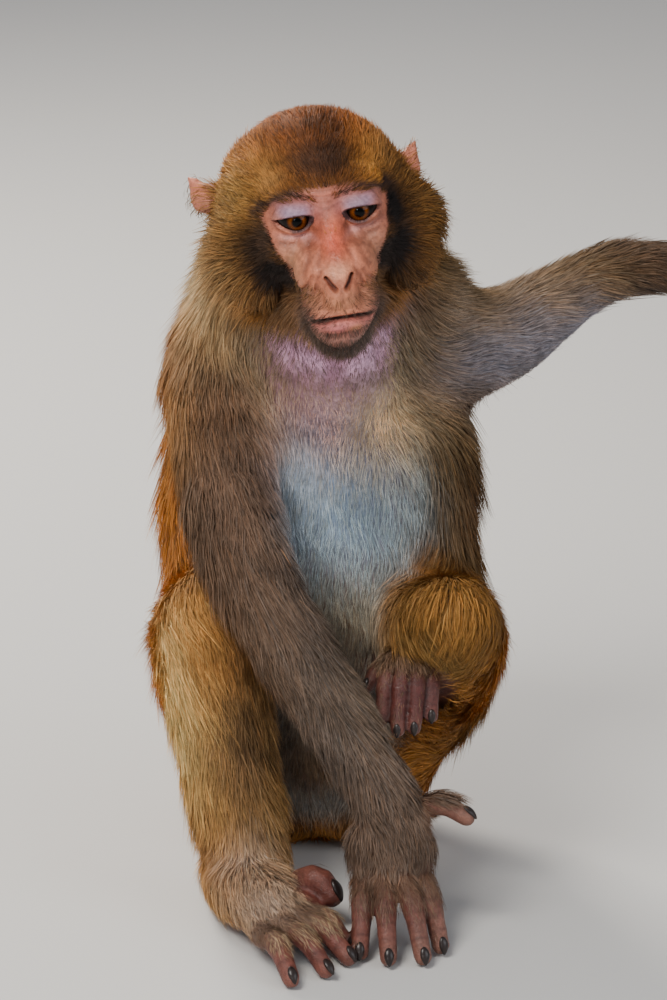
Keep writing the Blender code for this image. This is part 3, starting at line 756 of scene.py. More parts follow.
# %% Dabs
def paint(red, green, blue):
    """A colour as a screen gives it, 0 to 255, made linear."""
    share = np.array((red, green, blue)) / 255
    return np.where(share < 0.04045, share / 12.92, ((share + 0.055) / 1.055) ** 2.4)


def near(places, centre, reach):
    """How strongly a dab touches each place: 1 at its centre, fading out with distance."""
    away = (places - np.array(centre)) / np.array(reach)
    return np.exp(-(away**2).sum(1))


def dab(values, where, value, strength=1.0):
    """Moves values towards one value where the dab touches."""
    where = np.clip(where * strength, 0, 1)
    return values + where[:, None] * (np.asarray(value) - values)


def dabbed(values, places, mask, dabs, share=1.0):
    """Lays on a table of dabs, each with its centre, reach, colour and strength; share darkens them."""
    for centre, reach, colour, strength in dabs:
        values = dab(values, near(places, centre, reach) * mask, colour * share, strength)
    return values


def unit(vectors):
    return vectors / np.maximum(np.linalg.norm(vectors, axis=1), 1e-9)[:, None]


print("a mid grey, made linear:", paint(128, 128, 128).round(3))

# %% [markdown]
# ## Where the coat grows, and how
#
# Each stretch of the body has its own coat: how long, how dense, how fine, how far it stands off, its
# colours, and the way it lies. A table gives these for a set of straight bones, and every point of the skin
# takes a blend of the bones near it. This follows how a real coat changes, with no border between one part
# and the next.

# %% The lie of the coat, bone by bone
EMBER, GOLD, STRAW = paint(188, 112, 44), paint(196, 128, 46), paint(208, 158, 86)
UMBER, SOOT, ASH = paint(74, 46, 28), paint(30, 23, 21), paint(120, 101, 87)
OLIVE, CREAM, MIST = paint(134, 104, 56), paint(220, 196, 150), paint(172, 182, 182)
EARTH, SLATE = paint(98, 72, 56), paint(150, 144, 152)

# piece, start, end, reach, then length, width (millimetres), lift (degrees), density, root and tip colours
LIES = (
    ("neck", (0, -0.028, 0.345), (0, 0.000, 0.290), 0.058, 24, 0.55, 22, 1.0, UMBER, OLIVE),
    ("back", (0, 0.050, 0.300), (0, 0.062, 0.050), 0.046, 30, 0.65, 17, 0.9, UMBER, EMBER),
    ("back", (-0.074, 0.012, 0.280), (-0.084, 0.022, 0.080), 0.036, 27, 0.6, 20, 1.1, UMBER, EMBER),
    ("back", (0.074, 0.012, 0.250), (0.084, 0.022, 0.080), 0.034, 26, 0.6, 18, 1.0, UMBER, OLIVE),
    ("front", (0, -0.055, 0.290), (0, -0.052, 0.225), 0.040, 11, 0.26, 12, 0.55, ASH, CREAM),
    ("front", (0, -0.060, 0.215), (0, -0.045, 0.090), 0.044, 11, 0.26, 12, 0.50, MIST, MIST),
    ("back", (0, 0.050, 0.050), (0, 0.035, 0.000), 0.050, 15, 0.55, 14, 0.8, UMBER, GOLD),
    ("right_arm", RIGHT_SHOULDER, RIGHT_ELBOW, 0.036, 21, 0.52, 19, 1.1, UMBER, ASH),
    ("right_arm", RIGHT_ELBOW, RIGHT_WRIST, 0.026, 15, 0.46, 20, 1.2, UMBER, ASH),
    ("right_arm", RIGHT_WRIST, RIGHT_KNUCKLES, 0.022, 9, 0.32, 16, 1.0, EARTH, ASH),
    ("right_arm", RIGHT_KNUCKLES, (0.042, -0.155, 0.004), 0.024, 5, 0.24, 12, 0.6, EARTH, ASH),
    ("left_arm", LEFT_SHOULDER, LEFT_ELBOW, 0.036, 15, 0.5, 15, 0.9, UMBER, OLIVE),
    ("left_arm", LEFT_ELBOW, LEFT_WRIST, 0.022, 13, 0.46, 16, 1.1, SOOT, EARTH),
    ("left_arm", LEFT_WRIST, LEFT_KNUCKLES, 0.022, 8, 0.32, 14, 0.9, EARTH, ASH),
    ("left_arm", LEFT_KNUCKLES, (0.352, -0.010, 0.268), 0.024, 5, 0.24, 12, 0.5, EARTH, ASH),
    ("right_leg", RIGHT_HIP, RIGHT_KNEE, 0.042, 25, 0.56, 17, 1.0, EARTH, GOLD),
    ("right_leg", RIGHT_KNEE, RIGHT_ANKLE, 0.030, 18, 0.52, 19, 1.2, EARTH, STRAW),
    ("right_leg", (-0.038, -0.085, 0.020), RIGHT_TOE_ROOTS, 0.022, 9, 0.34, 15, 0.9, EARTH, STRAW),
    ("right_leg", RIGHT_TOE_ROOTS, (0.000, -0.178, 0.004), 0.026, 5, 0.24, 12, 0.55, EARTH, CREAM),
    ("left_leg", LEFT_HIP, LEFT_KNEE, 0.042, 22, 0.56, 15, 1.0, EARTH, GOLD),
    ("left_leg", LEFT_KNEE, LEFT_ANKLE, 0.026, 17, 0.5, 16, 1.0, EARTH, GOLD),
    ("left_leg", LEFT_ANKLE, LEFT_TOE_ROOTS, 0.020, 6, 0.32, 12, 0.6, EARTH, OLIVE),
    ("left_leg", LEFT_TOE_ROOTS, (0.045, -0.112, 0.108), 0.020, 3, 0.22, 10, 0.25, EARTH, ASH),
    ("tail", TAIL[0][:3], TAIL[2][:3], 0.014, 17, 0.5, 14, 1.0, UMBER, GOLD),
    ("tail", TAIL[2][:3], TAIL[4][:3], 0.012, 14, 0.48, 13, 1.1, UMBER, OLIVE),
    ("tail", TAIL[4][:3], TAIL[5][:3], 0.010, 12, 0.45, 13, 1.2, UMBER, OLIVE),
)
PIECES = ("face", "crown", "neck", "back", "front", "right_arm", "left_arm", "right_leg", "left_leg", "tail")
LENGTH, WIDTH, LIFT, DENSITY = range(4)

points = points_of(skin_mesh)
at = in_head(points)
edges, normals = edges_of(skin_mesh), normals_of(skin_mesh)

weights = []
for piece, start, end, reach, *_ in LIES:
    weights.append(np.exp(-3.5 * (distance_to(points, start, end)[0] / reach) ** 2) + 1e-12)
weights = np.array(weights)
skull_off = (at - (0, 0.004, -0.012)) / (0.058, 0.070, 0.055)
in_skull = 1 - ramp(0.85, 1.15, np.linalg.norm(skull_off, axis=1))
muzzle_off = (at - (0, -0.050, -0.035)) / (0.034, 0.045, 0.036)
in_skull = np.maximum(in_skull, 1 - ramp(0.85, 1.10, np.linalg.norm(muzzle_off, axis=1)))
weights = weights / weights.sum(0) * (1 - in_skull)
coat = np.array([lie[4:8] for lie in LIES], float)
coat = weights.T @ coat
roots = weights.T @ np.array([lie[8] for lie in LIES])
tips = weights.T @ np.array([lie[9] for lie in LIES])
bones = np.array([np.subtract(lie[2], lie[1]) / np.linalg.norm(np.subtract(lie[2], lie[1])) for lie in LIES])
flow = weights.T @ bones
shares = np.array([weights[[lie[0] == piece for lie in LIES]].sum(0) for piece in PIECES])
in_front = ramp(0.004, -0.008, at[:, 1])
shares[0], shares[1] = in_skull * in_front, in_skull * (1 - in_front)
print("coat table:", len(LIES), "bones over", len(points), "points of skin")

# %% [markdown]
# ### The coat of the head
#
# On the head the hair starts at the edge of the bare face, short and dark, and grows longer towards the
# nape. It runs away from the face on every side: back over the crown, and back and down over the cheeks.

# %% The coat of the head
across, deep, high = np.abs(at[:, 0]), at[:, 1], at[:, 2]
FACE_HEIGHTS = (-0.062, -0.052, -0.042, -0.030, -0.020, -0.010, 0.000, 0.008, 0.016)
FACE_WIDTHS = (0.0110, 0.0175, 0.0205, 0.0205, 0.0215, 0.0265, 0.0300, 0.0285, 0.0200)
BROW_PLACES, BROW_HEIGHTS = (0.0, 0.006, 0.015, 0.024, 0.031), (0.0128, 0.0120, 0.0112, 0.0078, -0.0010)
past_side = across - np.interp(high, FACE_HEIGHTS, FACE_WIDTHS)
past_brow = high - np.interp(across, BROW_PLACES, BROW_HEIGHTS)
outside = np.maximum(past_side, past_brow)
past_back = deep - np.interp(high, (-0.060, -0.036, -0.022, 0.000), (-0.052, -0.044, -0.026, -0.022))
outside = np.where(past_back > 0, np.maximum(outside, past_back + 0.004), outside)
outside = np.where(high < -0.060, np.maximum(outside, -0.060 - high), outside)
grown = ramp(0.000, 0.034, outside)
cheek = ramp(-0.002, -0.026, high) * ramp(-0.045, -0.020, deep) * ramp(0.055, 0.030, deep)
head_coat = np.stack(
    [
        5.0 + 9.0 * grown + 8.0 * cheek * ramp(0.002, 0.012, outside),
        0.24 + 0.26 * grown,
        15 + 9 * cheek,
        1.5 * ramp(-0.0006, 0.0022, outside),
    ],
    1,
)
muzzle = ramp(0.0008, -0.0010, outside) * ramp(-0.020, -0.030, high)
muzzle *= 1 - 0.85 * np.exp(-(((across / 0.0125) ** 2 + ((high + 0.0305) / 0.0125) ** 2) ** 2))
chin = ramp(-0.0460, -0.0520, high) * (deep > -0.085) * in_skull
jaw = ramp(0.0085, 0.0185, across) * ramp(-0.028, -0.037, high) * ramp(-0.045, -0.055, deep) * in_skull
chin = np.maximum(chin, jaw)
head_coat += muzzle[:, None] * ((-1.2, -0.08, 4, 0.36),)
head_coat = head_coat + chin[:, None] * ((10.0, 0.17, 38, 0.52) - head_coat) * 0.9
BROW_LINE = ((0.0055, 0.0092), (0.014, 0.0116), (0.023, 0.0098), (0.032, 0.001))
on_one_side = np.stack([across, deep, high], 1)
brow = np.full(len(points), 1.0)
for start, end in zip(BROW_LINE, BROW_LINE[1:]):
    brow = np.minimum(brow, along_line(on_one_side, start, end)[0])
brow = np.exp(-((brow / 0.0015) ** 2)) * in_skull * (deep < -0.02)
head_coat = head_coat + brow[:, None] * ((5.0, 0.20, 15, 0.95) - head_coat)
ruff = near(on_one_side, (0.047, -0.004, -0.018), (0.012, 0.018, 0.014))
head_coat[:, LENGTH] += 6 * ruff
head_coat[:, LIFT] += 30 * ruff
coat += in_skull[:, None] * head_coat
from_face = at - (0, -0.052, -0.014)
from_face /= np.linalg.norm(from_face, axis=1)[:, None]
head_flow = from_face * (0.9, 0.6, 0.9) + (0, 0.55, -0.12)
head_flow[:, 2] -= 0.5 * cheek
head_flow += brow[:, None] * np.stack([2.5 * np.sign(at[:, 0]), 0 * deep, 0.6 + 0 * deep], 1)
head_flow = head_flow @ HEAD_TURN.T
flow += in_skull[:, None] * head_flow
roots += in_skull[:, None] * UMBER
tips += in_skull[:, None] * GOLD
print("face edge at", int((np.abs(outside) < 0.001).sum()), "points")


# %% [markdown]
# ### Combing
#
# Hair on a digit runs to its tip, and on the rest of the body it hangs a little. Real hair turns smoothly
# from one place to the next, so each point's lie is averaged with its neighbours' and then turned back into
# the skin. Combing hair guides by hand would do the same, one stroke at a time.

# %% Comb it
def in_skin(vectors):
    """Directions turned to run along the skin."""
    return unit(vectors - (vectors * normals).sum(1)[:, None] * normals)


for name, places in DIGITS.items():
    for root, tip in places:
        gap, along = distance_to(points, root, tip)
        gap /= max(1.0, digit_share(name, root))
        on_digit = ramp(0.0120, 0.0075, gap) * ramp(0.0, 0.35, along)
        coat = dab(coat, on_digit, (5.5, 0.24, 13, 0.85))
        bare_from = 0.0 if name == "left toes" or root == BIG_TOE else 0.15
        coat[:, DENSITY] *= 1 - on_digit * ramp(bare_from, bare_from + 0.40, along)
        flow = dab(flow, on_digit, (Vector(tip) - Vector(root)).normalized())
flow[:, 2] -= 0.22 * (1 - in_skull)
coat[:, LENGTH] *= 1 - 0.55 * near(points, (0.045, -0.095, 0.128), (0.030, 0.035, 0.030))
knee = near(points, LEFT_KNEE, (0.05, 0.05, 0.05))
flow[:, 2] -= 1.1 * knee
flow = in_skin(flow)
for _ in range(4):
    flow = in_skin(relaxed(flow, edges, 4))
print("combed")

# %% [markdown]
# ### Bare places
#
# Palms, soles, the insides of the ears, the lids and the sitting pads grow no hair, and the throat and the
# big toe little. The density of the coat is cut there, with dabs and with ramps along the bones.

# %% Where no hair grows
def in_ear(name):
    """The points of the skin in one ear's own frame."""
    inside = np.array(EARS[name].inverted())
    return points @ inside[:3, :3].T + inside[:3, 3]


down, front_facing = -normals[:, 2], -normals[:, 1]
density = coat[:, DENSITY]
hand = shares[PIECES.index("right_arm")] * ramp(0.055, 0.040, points[:, 2])
density *= 1 - hand * ramp(-0.1, 0.5, down)
foot = shares[PIECES.index("right_leg")] * ramp(0.022, 0.010, points[:, 2])
density *= 1 - foot * ramp(0.0, 0.5, down)
left_hand = ramp(0.272, 0.290, points[:, 0])
density *= 1 - left_hand * ramp(0.0, 0.5, down)
left_foot = 1 - ramp(0.022, 0.034, distance_to(points, (0.050, -0.020, 0.112), (0.045, -0.105, 0.122))[0])
density *= 1 - left_foot * ramp(0.0, 0.4, down)
for name, side in SIDES.items():
    lobe = near(in_ear(name), (side * 0.008, 0, 0.003), (0.014, 0.010, 0.016))
    density *= 1 - np.clip(2.0 * lobe, 0, 1) * 0.95
    coat[:, LENGTH] *= 1 - 0.72 * lobe
    coat[:, WIDTH] *= 1 - 0.5 * lobe
body = 1 - in_skull
throat = near(points, (0.008, -0.092, 0.302), (0.052, 0.050, 0.034)) * body
density *= 1 - 0.72 * np.clip(1.5 * throat, 0, 1)
beside_chin = near(points, (0.028, -0.080, 0.328), (0.016, 0.034, 0.024)) * body
density *= 1 - 0.60 * beside_chin
coat[:, LENGTH] *= 1 - 0.50 * beside_chin
density *= 1 - 0.97 * ramp(0.020, 0.013, distance_to(points, *DIGITS["right toes"][0])[0])
coat[:, LIFT] += 10 * throat
coat[:, LENGTH] *= 1 - 0.15 * throat
density *= 1 - 0.85 * near(points, (-0.038, -0.102, 0.040), (0.012, 0.022, 0.012))
coat[:, LENGTH] *= 1 - 0.6 * near(points, (0.014, -0.085, 0.288), (0.060, 0.050, 0.048)) * body
breast = near(points, (0.006, -0.085, 0.252), (0.042, 0.040, 0.022)) * body
density *= 1 - 0.45 * np.clip(1.2 * breast, 0, 1)
belly = near(points, (0.016, -0.085, 0.205), (0.040, 0.040, 0.045)) * body
density *= 1 - 0.78 * np.clip(1.4 * belly, 0, 1)
coat[:, WIDTH] *= 1 - 0.45 * belly
coat[:, LENGTH] *= 1 - 0.45 * np.clip(belly + breast, 0, 1)
under_arm = near(points, (0.100, 0.005, 0.262), (0.060, 0.060, 0.022))
under_arm *= ramp(-0.1, 0.6, down + 0.5 * front_facing)
density *= 1 - 0.45 * under_arm
coat[:, LENGTH] *= 1 - 0.60 * under_arm
coat[:, WIDTH] *= 1 - 0.40 * under_arm
coat[:, LIFT] *= 1 - 0.50 * under_arm
density *= ramp(FLOOR_GAP, 0.0020, points[:, 2])
for place in EYE_PLACES.values():
    off = at - np.array(place)
    density[(np.linalg.norm(off, axis=1) < 0.0125) & (off[:, 2] < 0.0085)] = 0
print("hair grows on", round(100 * float((density > 0.1).mean())), "per cent of the points")

# %% [markdown]
# ## Markings
#
# The crown is orange brown with a dark middle, black fringes frame the face, the back and the legs are
# golden, and the arms are grey brown. The bare throat and belly show pink and blue skin. Hair is painted
# first, at its tips and its roots. Where it is thick, the skin under it takes the colour of its roots, so
# that coat and skin agree.

# %% Dabs for the head's hair: centre in the head's frame, reach, colour, strength
HEAD_HAIR = (
    ((0.000, 0.006, 0.024), (0.052, 0.060, 0.030), paint(164, 86, 30), 0.95),  # crown
    ((0.002, -0.028, 0.022), (0.023, 0.026, 0.016), paint(66, 40, 24), 1.15),  # its dark middle
    ((0.000, -0.002, 0.032), (0.024, 0.024, 0.014), paint(92, 54, 28), 0.90),
    ((-0.026, -0.028, 0.016), (0.010, 0.018, 0.012), paint(166, 118, 62), 0.80),
    ((0.027, -0.028, 0.015), (0.010, 0.018, 0.012), paint(190, 128, 48), 0.75),
    ((-0.040, -0.012, 0.004), (0.016, 0.024, 0.018), paint(158, 120, 62), 0.90),  # temples
    ((0.042, -0.012, 0.002), (0.016, 0.024, 0.018), paint(126, 86, 40), 0.90),
    ((0.036, -0.012, 0.016), (0.012, 0.020, 0.010), paint(170, 130, 80), 0.60),
    ((-0.050, -0.004, -0.024), (0.020, 0.034, 0.022), paint(134, 108, 72), 0.90),
    ((-0.058, 0.006, -0.044), (0.015, 0.034, 0.020), paint(222, 194, 150), 0.85),
    ((0.048, -0.004, -0.024), (0.020, 0.034, 0.024), paint(106, 76, 40), 0.95),
    ((-0.033, -0.030, -0.013), (0.0085, 0.020, 0.012), SOOT, 0.95),  # black fringes
    ((-0.0285, -0.036, -0.011), (0.0050, 0.016, 0.012), paint(66, 50, 40), 1.0),
    ((-0.026, -0.030, -0.045), (0.014, 0.025, 0.010), paint(84, 66, 48), 0.9),
    ((0.030, -0.030, -0.042), (0.014, 0.025, 0.012), paint(72, 56, 42), 0.9),
    ((-0.025, -0.034, -0.027), (0.0095, 0.020, 0.011), SOOT, 1.7),
    ((0.031, -0.030, -0.006), (0.0070, 0.020, 0.013), SOOT, 1.2),
    ((0.025, -0.034, -0.023), (0.0095, 0.020, 0.013), SOOT, 1.7),
    ((0.000, -0.070, -0.044), (0.034, 0.034, 0.020), paint(98, 78, 68), 1.4),  # chin and jaws
    ((0.000, -0.042, -0.062), (0.030, 0.026, 0.016), paint(124, 102, 88), 1.0),
    ((0.000, -0.078, -0.050), (0.014, 0.034, 0.008), paint(84, 72, 66), 0.7),
)
tips = dabbed(tips, at, in_skull, HEAD_HAIR)
# The roots take the same dabs darker: partly the dark base of each hair, partly painted shade deep in the
# coat
roots = dabbed(roots, at, in_skull, HEAD_HAIR, 0.5)
print("dabs on the head:", len(HEAD_HAIR))

# %% Dabs for the body's hair
BODY_HAIR = (
    ((-0.060, -0.045, 0.332), (0.018, 0.035, 0.024), paint(234, 208, 162), 1.0),  # pale under the right ear
    ((-0.064, -0.040, 0.306), (0.026, 0.040, 0.024), paint(216, 178, 126), 1.0),
    ((-0.030, -0.080, 0.292), (0.018, 0.040, 0.022), paint(150, 124, 96), 0.70),
    ((0.055, -0.045, 0.330), (0.022, 0.040, 0.024), paint(128, 94, 48), 0.80),
    ((-0.088, 0.000, 0.290), (0.022, 0.050, 0.060), paint(196, 112, 40), 1.0),  # right shoulder's edge: golden coat and painted rim light
    ((-0.052, -0.050, 0.262), (0.026, 0.035, 0.030), paint(118, 88, 66), 0.90),
    # golden coat and painted rim light down the outer edge of the right arm
    ((-0.076, -0.042, 0.245), (0.014, 0.035, 0.045), paint(172, 130, 82), 0.90),
    ((-0.040, -0.080, 0.215), (0.026, 0.040, 0.040), paint(112, 86, 68), 0.90),
    ((-0.094, 0.012, 0.190), (0.024, 0.060, 0.090), paint(200, 130, 52), 1.1),  # right flank
    ((-0.085, 0.010, 0.090), (0.026, 0.050, 0.050), paint(200, 120, 40), 0.9),
    ((0.004, -0.115, 0.140), (0.040, 0.030, 0.050), paint(112, 99, 90), 1.0),  # forearm
    ((-0.070, -0.090, 0.160), (0.026, 0.030, 0.026), paint(190, 126, 54), 0.80),  # right knee
    # painted highlight down the outer right shin, on its straw coat
    ((-0.082, -0.085, 0.100), (0.017, 0.045, 0.065), paint(255, 222, 150), 1.35),
    ((-0.036, -0.112, 0.110), (0.022, 0.034, 0.060), paint(106, 80, 58), 1.1),
    ((-0.062, -0.100, 0.040), (0.020, 0.030, 0.022), paint(186, 122, 60), 0.80),
    ((-0.026, -0.126, 0.022), (0.024, 0.034, 0.016), paint(206, 178, 156), 1.0),
    ((-0.038, -0.102, 0.046), (0.013, 0.030, 0.014), paint(196, 168, 146), 0.9),
    # golden coat and painted rim light on the outline of the right side
    ((-0.088, -0.020, 0.235), (0.015, 0.040, 0.050), paint(196, 132, 62), 0.9),
    ((0.085, -0.005, 0.205), (0.026, 0.045, 0.050), paint(92, 66, 44), 1.1),  # left flank
    ((0.092, 0.015, 0.180), (0.014, 0.040, 0.060), paint(176, 108, 44), 0.80),
    ((0.060, -0.100, 0.155), (0.040, 0.060, 0.036), paint(136, 104, 58), 1.0),
    ((0.064, -0.040, 0.304), (0.022, 0.034, 0.022), paint(170, 148, 126), 1.0),  # left shoulder
    ((0.090, 0.000, 0.300), (0.030, 0.030, 0.020), paint(160, 126, 80), 0.80),
    ((0.085, -0.020, 0.272), (0.040, 0.040, 0.018), SLATE, 0.90),
    ((0.135, 0.020, 0.268), (0.060, 0.050, 0.022), SLATE, 1.20),
    ((0.150, 0.035, 0.324), (0.044, 0.040, 0.020), paint(98, 76, 62), 1.2),  # top of the left arm
    ((0.225, 0.020, 0.311), (0.064, 0.040, 0.026), paint(80, 61, 50), 1.3),
    ((0.290, 0.000, 0.298), (0.060, 0.030, 0.020), paint(96, 74, 60), 0.80),
    ((0.000, 0.060, 0.280), (0.070, 0.050, 0.050), paint(132, 98, 56), 0.90),  # upper back
    ((0.004, 0.070, 0.190), (0.030, 0.050, 0.060), paint(160, 96, 40), 0.60),
)
tips = dabbed(tips, points, body, BODY_HAIR)
# Darker roots: the hair's own base colour and painted shade deep in the coat
roots = dabbed(roots, points, body, BODY_HAIR, 0.55)
print("dabs on the body:", len(BODY_HAIR))

# %% Dabs for the throat, breast and belly, which keep off the limbs
TORSO_HAIR = (
    ((0.006, -0.100, 0.308), (0.050, 0.055, 0.032), paint(96, 72, 72), 1.2),  # throat
    ((0.026, -0.082, 0.322), (0.012, 0.030, 0.018), paint(190, 150, 170), 0.9),
    ((0.008, -0.105, 0.281), (0.050, 0.050, 0.0065), paint(74, 54, 46), 1.1),  # painted shade in the fold under it
    ((-0.002, -0.085, 0.246), (0.028, 0.040, 0.022), paint(250, 190, 176), 1.7),  # breast, pink, painted brighter to make up for the shade under the chin
    # cream patch, painted brighter to make up for the shade under the chin
    ((0.034, -0.075, 0.243), (0.018, 0.040, 0.018), paint(255, 214, 160), 1.9),
    # pale blue beside the right arm, painted brighter to make up for the arm's shadow
    ((-0.012, -0.085, 0.216), (0.014, 0.040, 0.030), paint(216, 230, 242), 1.8),
    ((0.026, -0.085, 0.203), (0.038, 0.040, 0.036), paint(146, 190, 218), 1.1),
    ((0.016, -0.080, 0.150), (0.050, 0.040, 0.024), paint(166, 148, 112), 0.90),  # low belly
    ((0.000, -0.070, 0.100), (0.060, 0.040, 0.040), paint(124, 92, 56), 1.2),
    ((0.000, -0.060, 0.060), (0.070, 0.050, 0.040), paint(104, 78, 52), 1.2),
)
limb_share = shares[[PIECES.index(name) for name in ("right_arm", "right_leg", "left_leg")]].sum(0)
torso = body - np.minimum(limb_share, body)
tips = dabbed(tips, points, torso, TORSO_HAIR)
# Darker roots: the hair's own base colour and painted shade deep in the coat
roots = dabbed(roots, points, torso, TORSO_HAIR, 0.75)
for name, places in DIGITS.items():
    for root, tip in places:
        gap, along = distance_to(points, root, tip)
        gap /= max(1.0, digit_share(name, root))
        tips = dab(tips, ramp(0.0120, 0.0075, gap), paint(130, 102, 84), 0.85)
tips = dab(tips, brow, paint(58, 42, 37))
roots = dab(roots, brow, paint(58, 42, 37))
print("hair painted")

# %% [markdown]
# ### Bare skin
#
# Bare skin is pink on the throat and the face, blue on the belly, and dark on the hands and feet. The red
# bridge of the nose, the pale lids and the lips are small dabs in the head's frame.

# %% Paint the body's skin
BODY_SKIN = (
    ((0.008, -0.098, 0.308), (0.062, 0.060, 0.036), paint(232, 178, 210), 1.4),  # throat, pink skin painted brighter to make up for the head's shadow
    ((0.028, -0.080, 0.324), (0.016, 0.034, 0.020), paint(232, 182, 212), 1.2),
    ((0.008, -0.105, 0.277), (0.050, 0.050, 0.0065), paint(112, 84, 78), 1.0),  # painted shade in the fold under it
    ((-0.002, -0.080, 0.250), (0.040, 0.040, 0.024), paint(206, 146, 138), 1.1),  # breast, pink, painted brighter to make up for the shade under the chin
    # cream patch, painted brighter to make up for the shade under the chin
    ((0.036, -0.080, 0.251), (0.020, 0.035, 0.016), paint(232, 206, 166), 1.0),
    ((0.014, -0.080, 0.205), (0.054, 0.040, 0.044), paint(116, 164, 200), 1.3),  # blue belly
    # pale blue skin beside the right arm, painted brighter to make up for the arm's shadow
    ((-0.013, -0.080, 0.215), (0.015, 0.040, 0.028), paint(206, 222, 240), 1.2),
    ((0.014, -0.080, 0.145), (0.060, 0.040, 0.026), paint(132, 112, 78), 0.9),
    ((0.000, -0.060, 0.080), (0.070, 0.050, 0.050), paint(96, 68, 48), 1.2),
    ((0.100, 0.000, 0.262), (0.070, 0.050, 0.022), paint(104, 100, 108), 1.2),  # under the left arm
    ((0.033, -0.118, 0.040), (0.040, 0.060, 0.040), paint(96, 47, 40), 1.3),  # hands and feet
    ((0.315, -0.005, 0.283), (0.050, 0.050, 0.040), paint(104, 58, 50), 1.3),
    ((-0.015, -0.135, 0.010), (0.040, 0.070, 0.030), paint(106, 56, 47), 1.3),
    ((0.045, -0.085, 0.120), (0.030, 0.045, 0.030), paint(86, 40, 36), 1.3),
    ((-0.036, -0.098, 0.034), (0.016, 0.024, 0.014), paint(206, 164, 150), 1.0),  # pale ankle
    ((0.000, 0.000, 0.000), (0.050, 0.050, 0.018), paint(190, 116, 112), 1.0),  # sitting pads
)
skin_paint = np.tile(paint(140, 100, 84), (len(points), 1))
skin_paint = dabbed(skin_paint, points, 1.0, BODY_SKIN)
thick = ramp(0.30, 0.85, density)
skin_paint = dab(skin_paint, thick * (0.8 + 0.2 * in_skull), roots * 1.1)
bare = np.clip(in_skull * ramp(0.004, -0.001, outside), 0, 1)
skin_paint = dab(skin_paint, bare, paint(184, 106, 76))
# Painted shade in the hollows of the throat's pleats
skin_paint = dab(skin_paint, np.clip(-pleat, 0, 1), paint(170, 112, 138), 0.6)
# Painted shade in the grooves between the digits
skin_paint = dab(skin_paint, seam, paint(48, 24, 22), 0.8)
# Painted shade in thin creases across the joints of each digit, in place of wrinkles
for name, places in DIGITS.items():
    for root, tip in places:
        gap, along = distance_to(points, root, tip)
        for place in (0.40, 0.52, 0.64, 0.82):
            knuckle_crease_shade = np.exp(-(((along - place) / 0.018) ** 2)) * ramp(0.011, 0.009, gap)
            skin_paint = dab(skin_paint, knuckle_crease_shade, paint(74, 38, 34), 0.45)
print("skin of the body painted")

# %% Paint the face
FACE_SKIN = (  # on the left side, and mirrored
    ((0.0153, -0.046, 0.0066), (0.0105, 0.014, 0.0050), paint(136, 110, 130), 1.2),  # upper lid, pale lavender skin painted darker as shade
    ((0.0153, -0.046, 0.0056), (0.0060, 0.014, 0.0026), paint(158, 134, 156), 0.7),
    # painted shade in the fold above the upper lid
    ((0.0160, -0.046, 0.0104), (0.0120, 0.014, 0.0014), paint(96, 54, 52), 0.85),
    ((0.0150, -0.046, -0.0066), (0.0090, 0.014, 0.0016), paint(206, 150, 148), 0.8),  # lower lid
    # painted shade in the crease under the lower lid
    ((0.0165, -0.044, -0.0092), (0.0100, 0.014, 0.0010), paint(130, 78, 70), 0.55),
    ((0.0165, -0.044, -0.0120), (0.0110, 0.014, 0.0022), paint(204, 140, 118), 0.6),
    ((0.0060, -0.050, 0.0030), (0.0024, 0.014, 0.0070), paint(140, 74, 62), 0.7),  # inner corners
    ((0.0260, -0.040, 0.0010), (0.0030, 0.014, 0.0060), paint(160, 100, 86), 0.7),
    ((0.0195, -0.044, -0.0180), (0.0070, 0.020, 0.0070), paint(196, 140, 104), 0.7),
    ((0.0110, -0.056, -0.0180), (0.0040, 0.014, 0.0080), paint(182, 108, 80), 0.6),
    ((0.0042, -0.076, -0.0205), (0.0020, 0.010, 0.0032), paint(104, 52, 42), 0.85),  # painted shade in the nostrils
    ((0.0150, -0.064, -0.0330), (0.0080, 0.020, 0.0070), paint(172, 120, 92), 0.7),
    ((0.0180, -0.060, -0.0430), (0.0070, 0.020, 0.0070), paint(142, 96, 82), 0.8),
)
MIDDLE_SKIN = (
    ((0, -0.0560, -0.0070), (0.0060, 0.020, 0.0100), paint(196, 78, 50), 0.95),  # nose's bridge
    ((0, -0.0720, -0.0165), (0.0070, 0.010, 0.0036), paint(222, 150, 116), 0.9),  # its flat end
    ((0, -0.0780, -0.0300), (0.0120, 0.010, 0.0050), paint(200, 134, 98), 0.7),
    ((0, -0.0450, 0.0110), (0.0170, 0.012, 0.0046), paint(184, 104, 82), 0.8),  # between the brows
    ((-0.0006, -0.0780, -0.0412), (0.0140, 0.012, 0.0034), paint(192, 106, 106), 1.1),  # lower lip
    ((0.004, -0.0780, -0.0425), (0.0040, 0.012, 0.0022), paint(190, 126, 70), 0.8),
    ((0, -0.0740, -0.0500), (0.0180, 0.016, 0.0060), paint(150, 108, 98), 0.9),  # chin
    ((0.022, -0.044, -0.014), (0.010, 0.020, 0.016), paint(146, 88, 68), 0.6),  # shade on the left cheek
)
for side in SIDES.values():
    mirrored = [((side * centre[0], *centre[1:]), *how) for centre, *how in FACE_SKIN]
    skin_paint = dabbed(skin_paint, at, bare, mirrored)
skin_paint = dabbed(skin_paint, at, bare, MIDDLE_SKIN)
for name, side in SIDES.items():
    lobe = near(in_ear(name), (side * 0.009, 0, 0.002), (0.013, 0.010, 0.016))
    skin_paint = dab(skin_paint, lobe, paint(214, 128, 100), 1.2)
# Painted shade in the creases of the face, the nostrils and the mouth
skin_paint = dab(skin_paint, folds * in_skull, paint(70, 34, 30), 0.85)
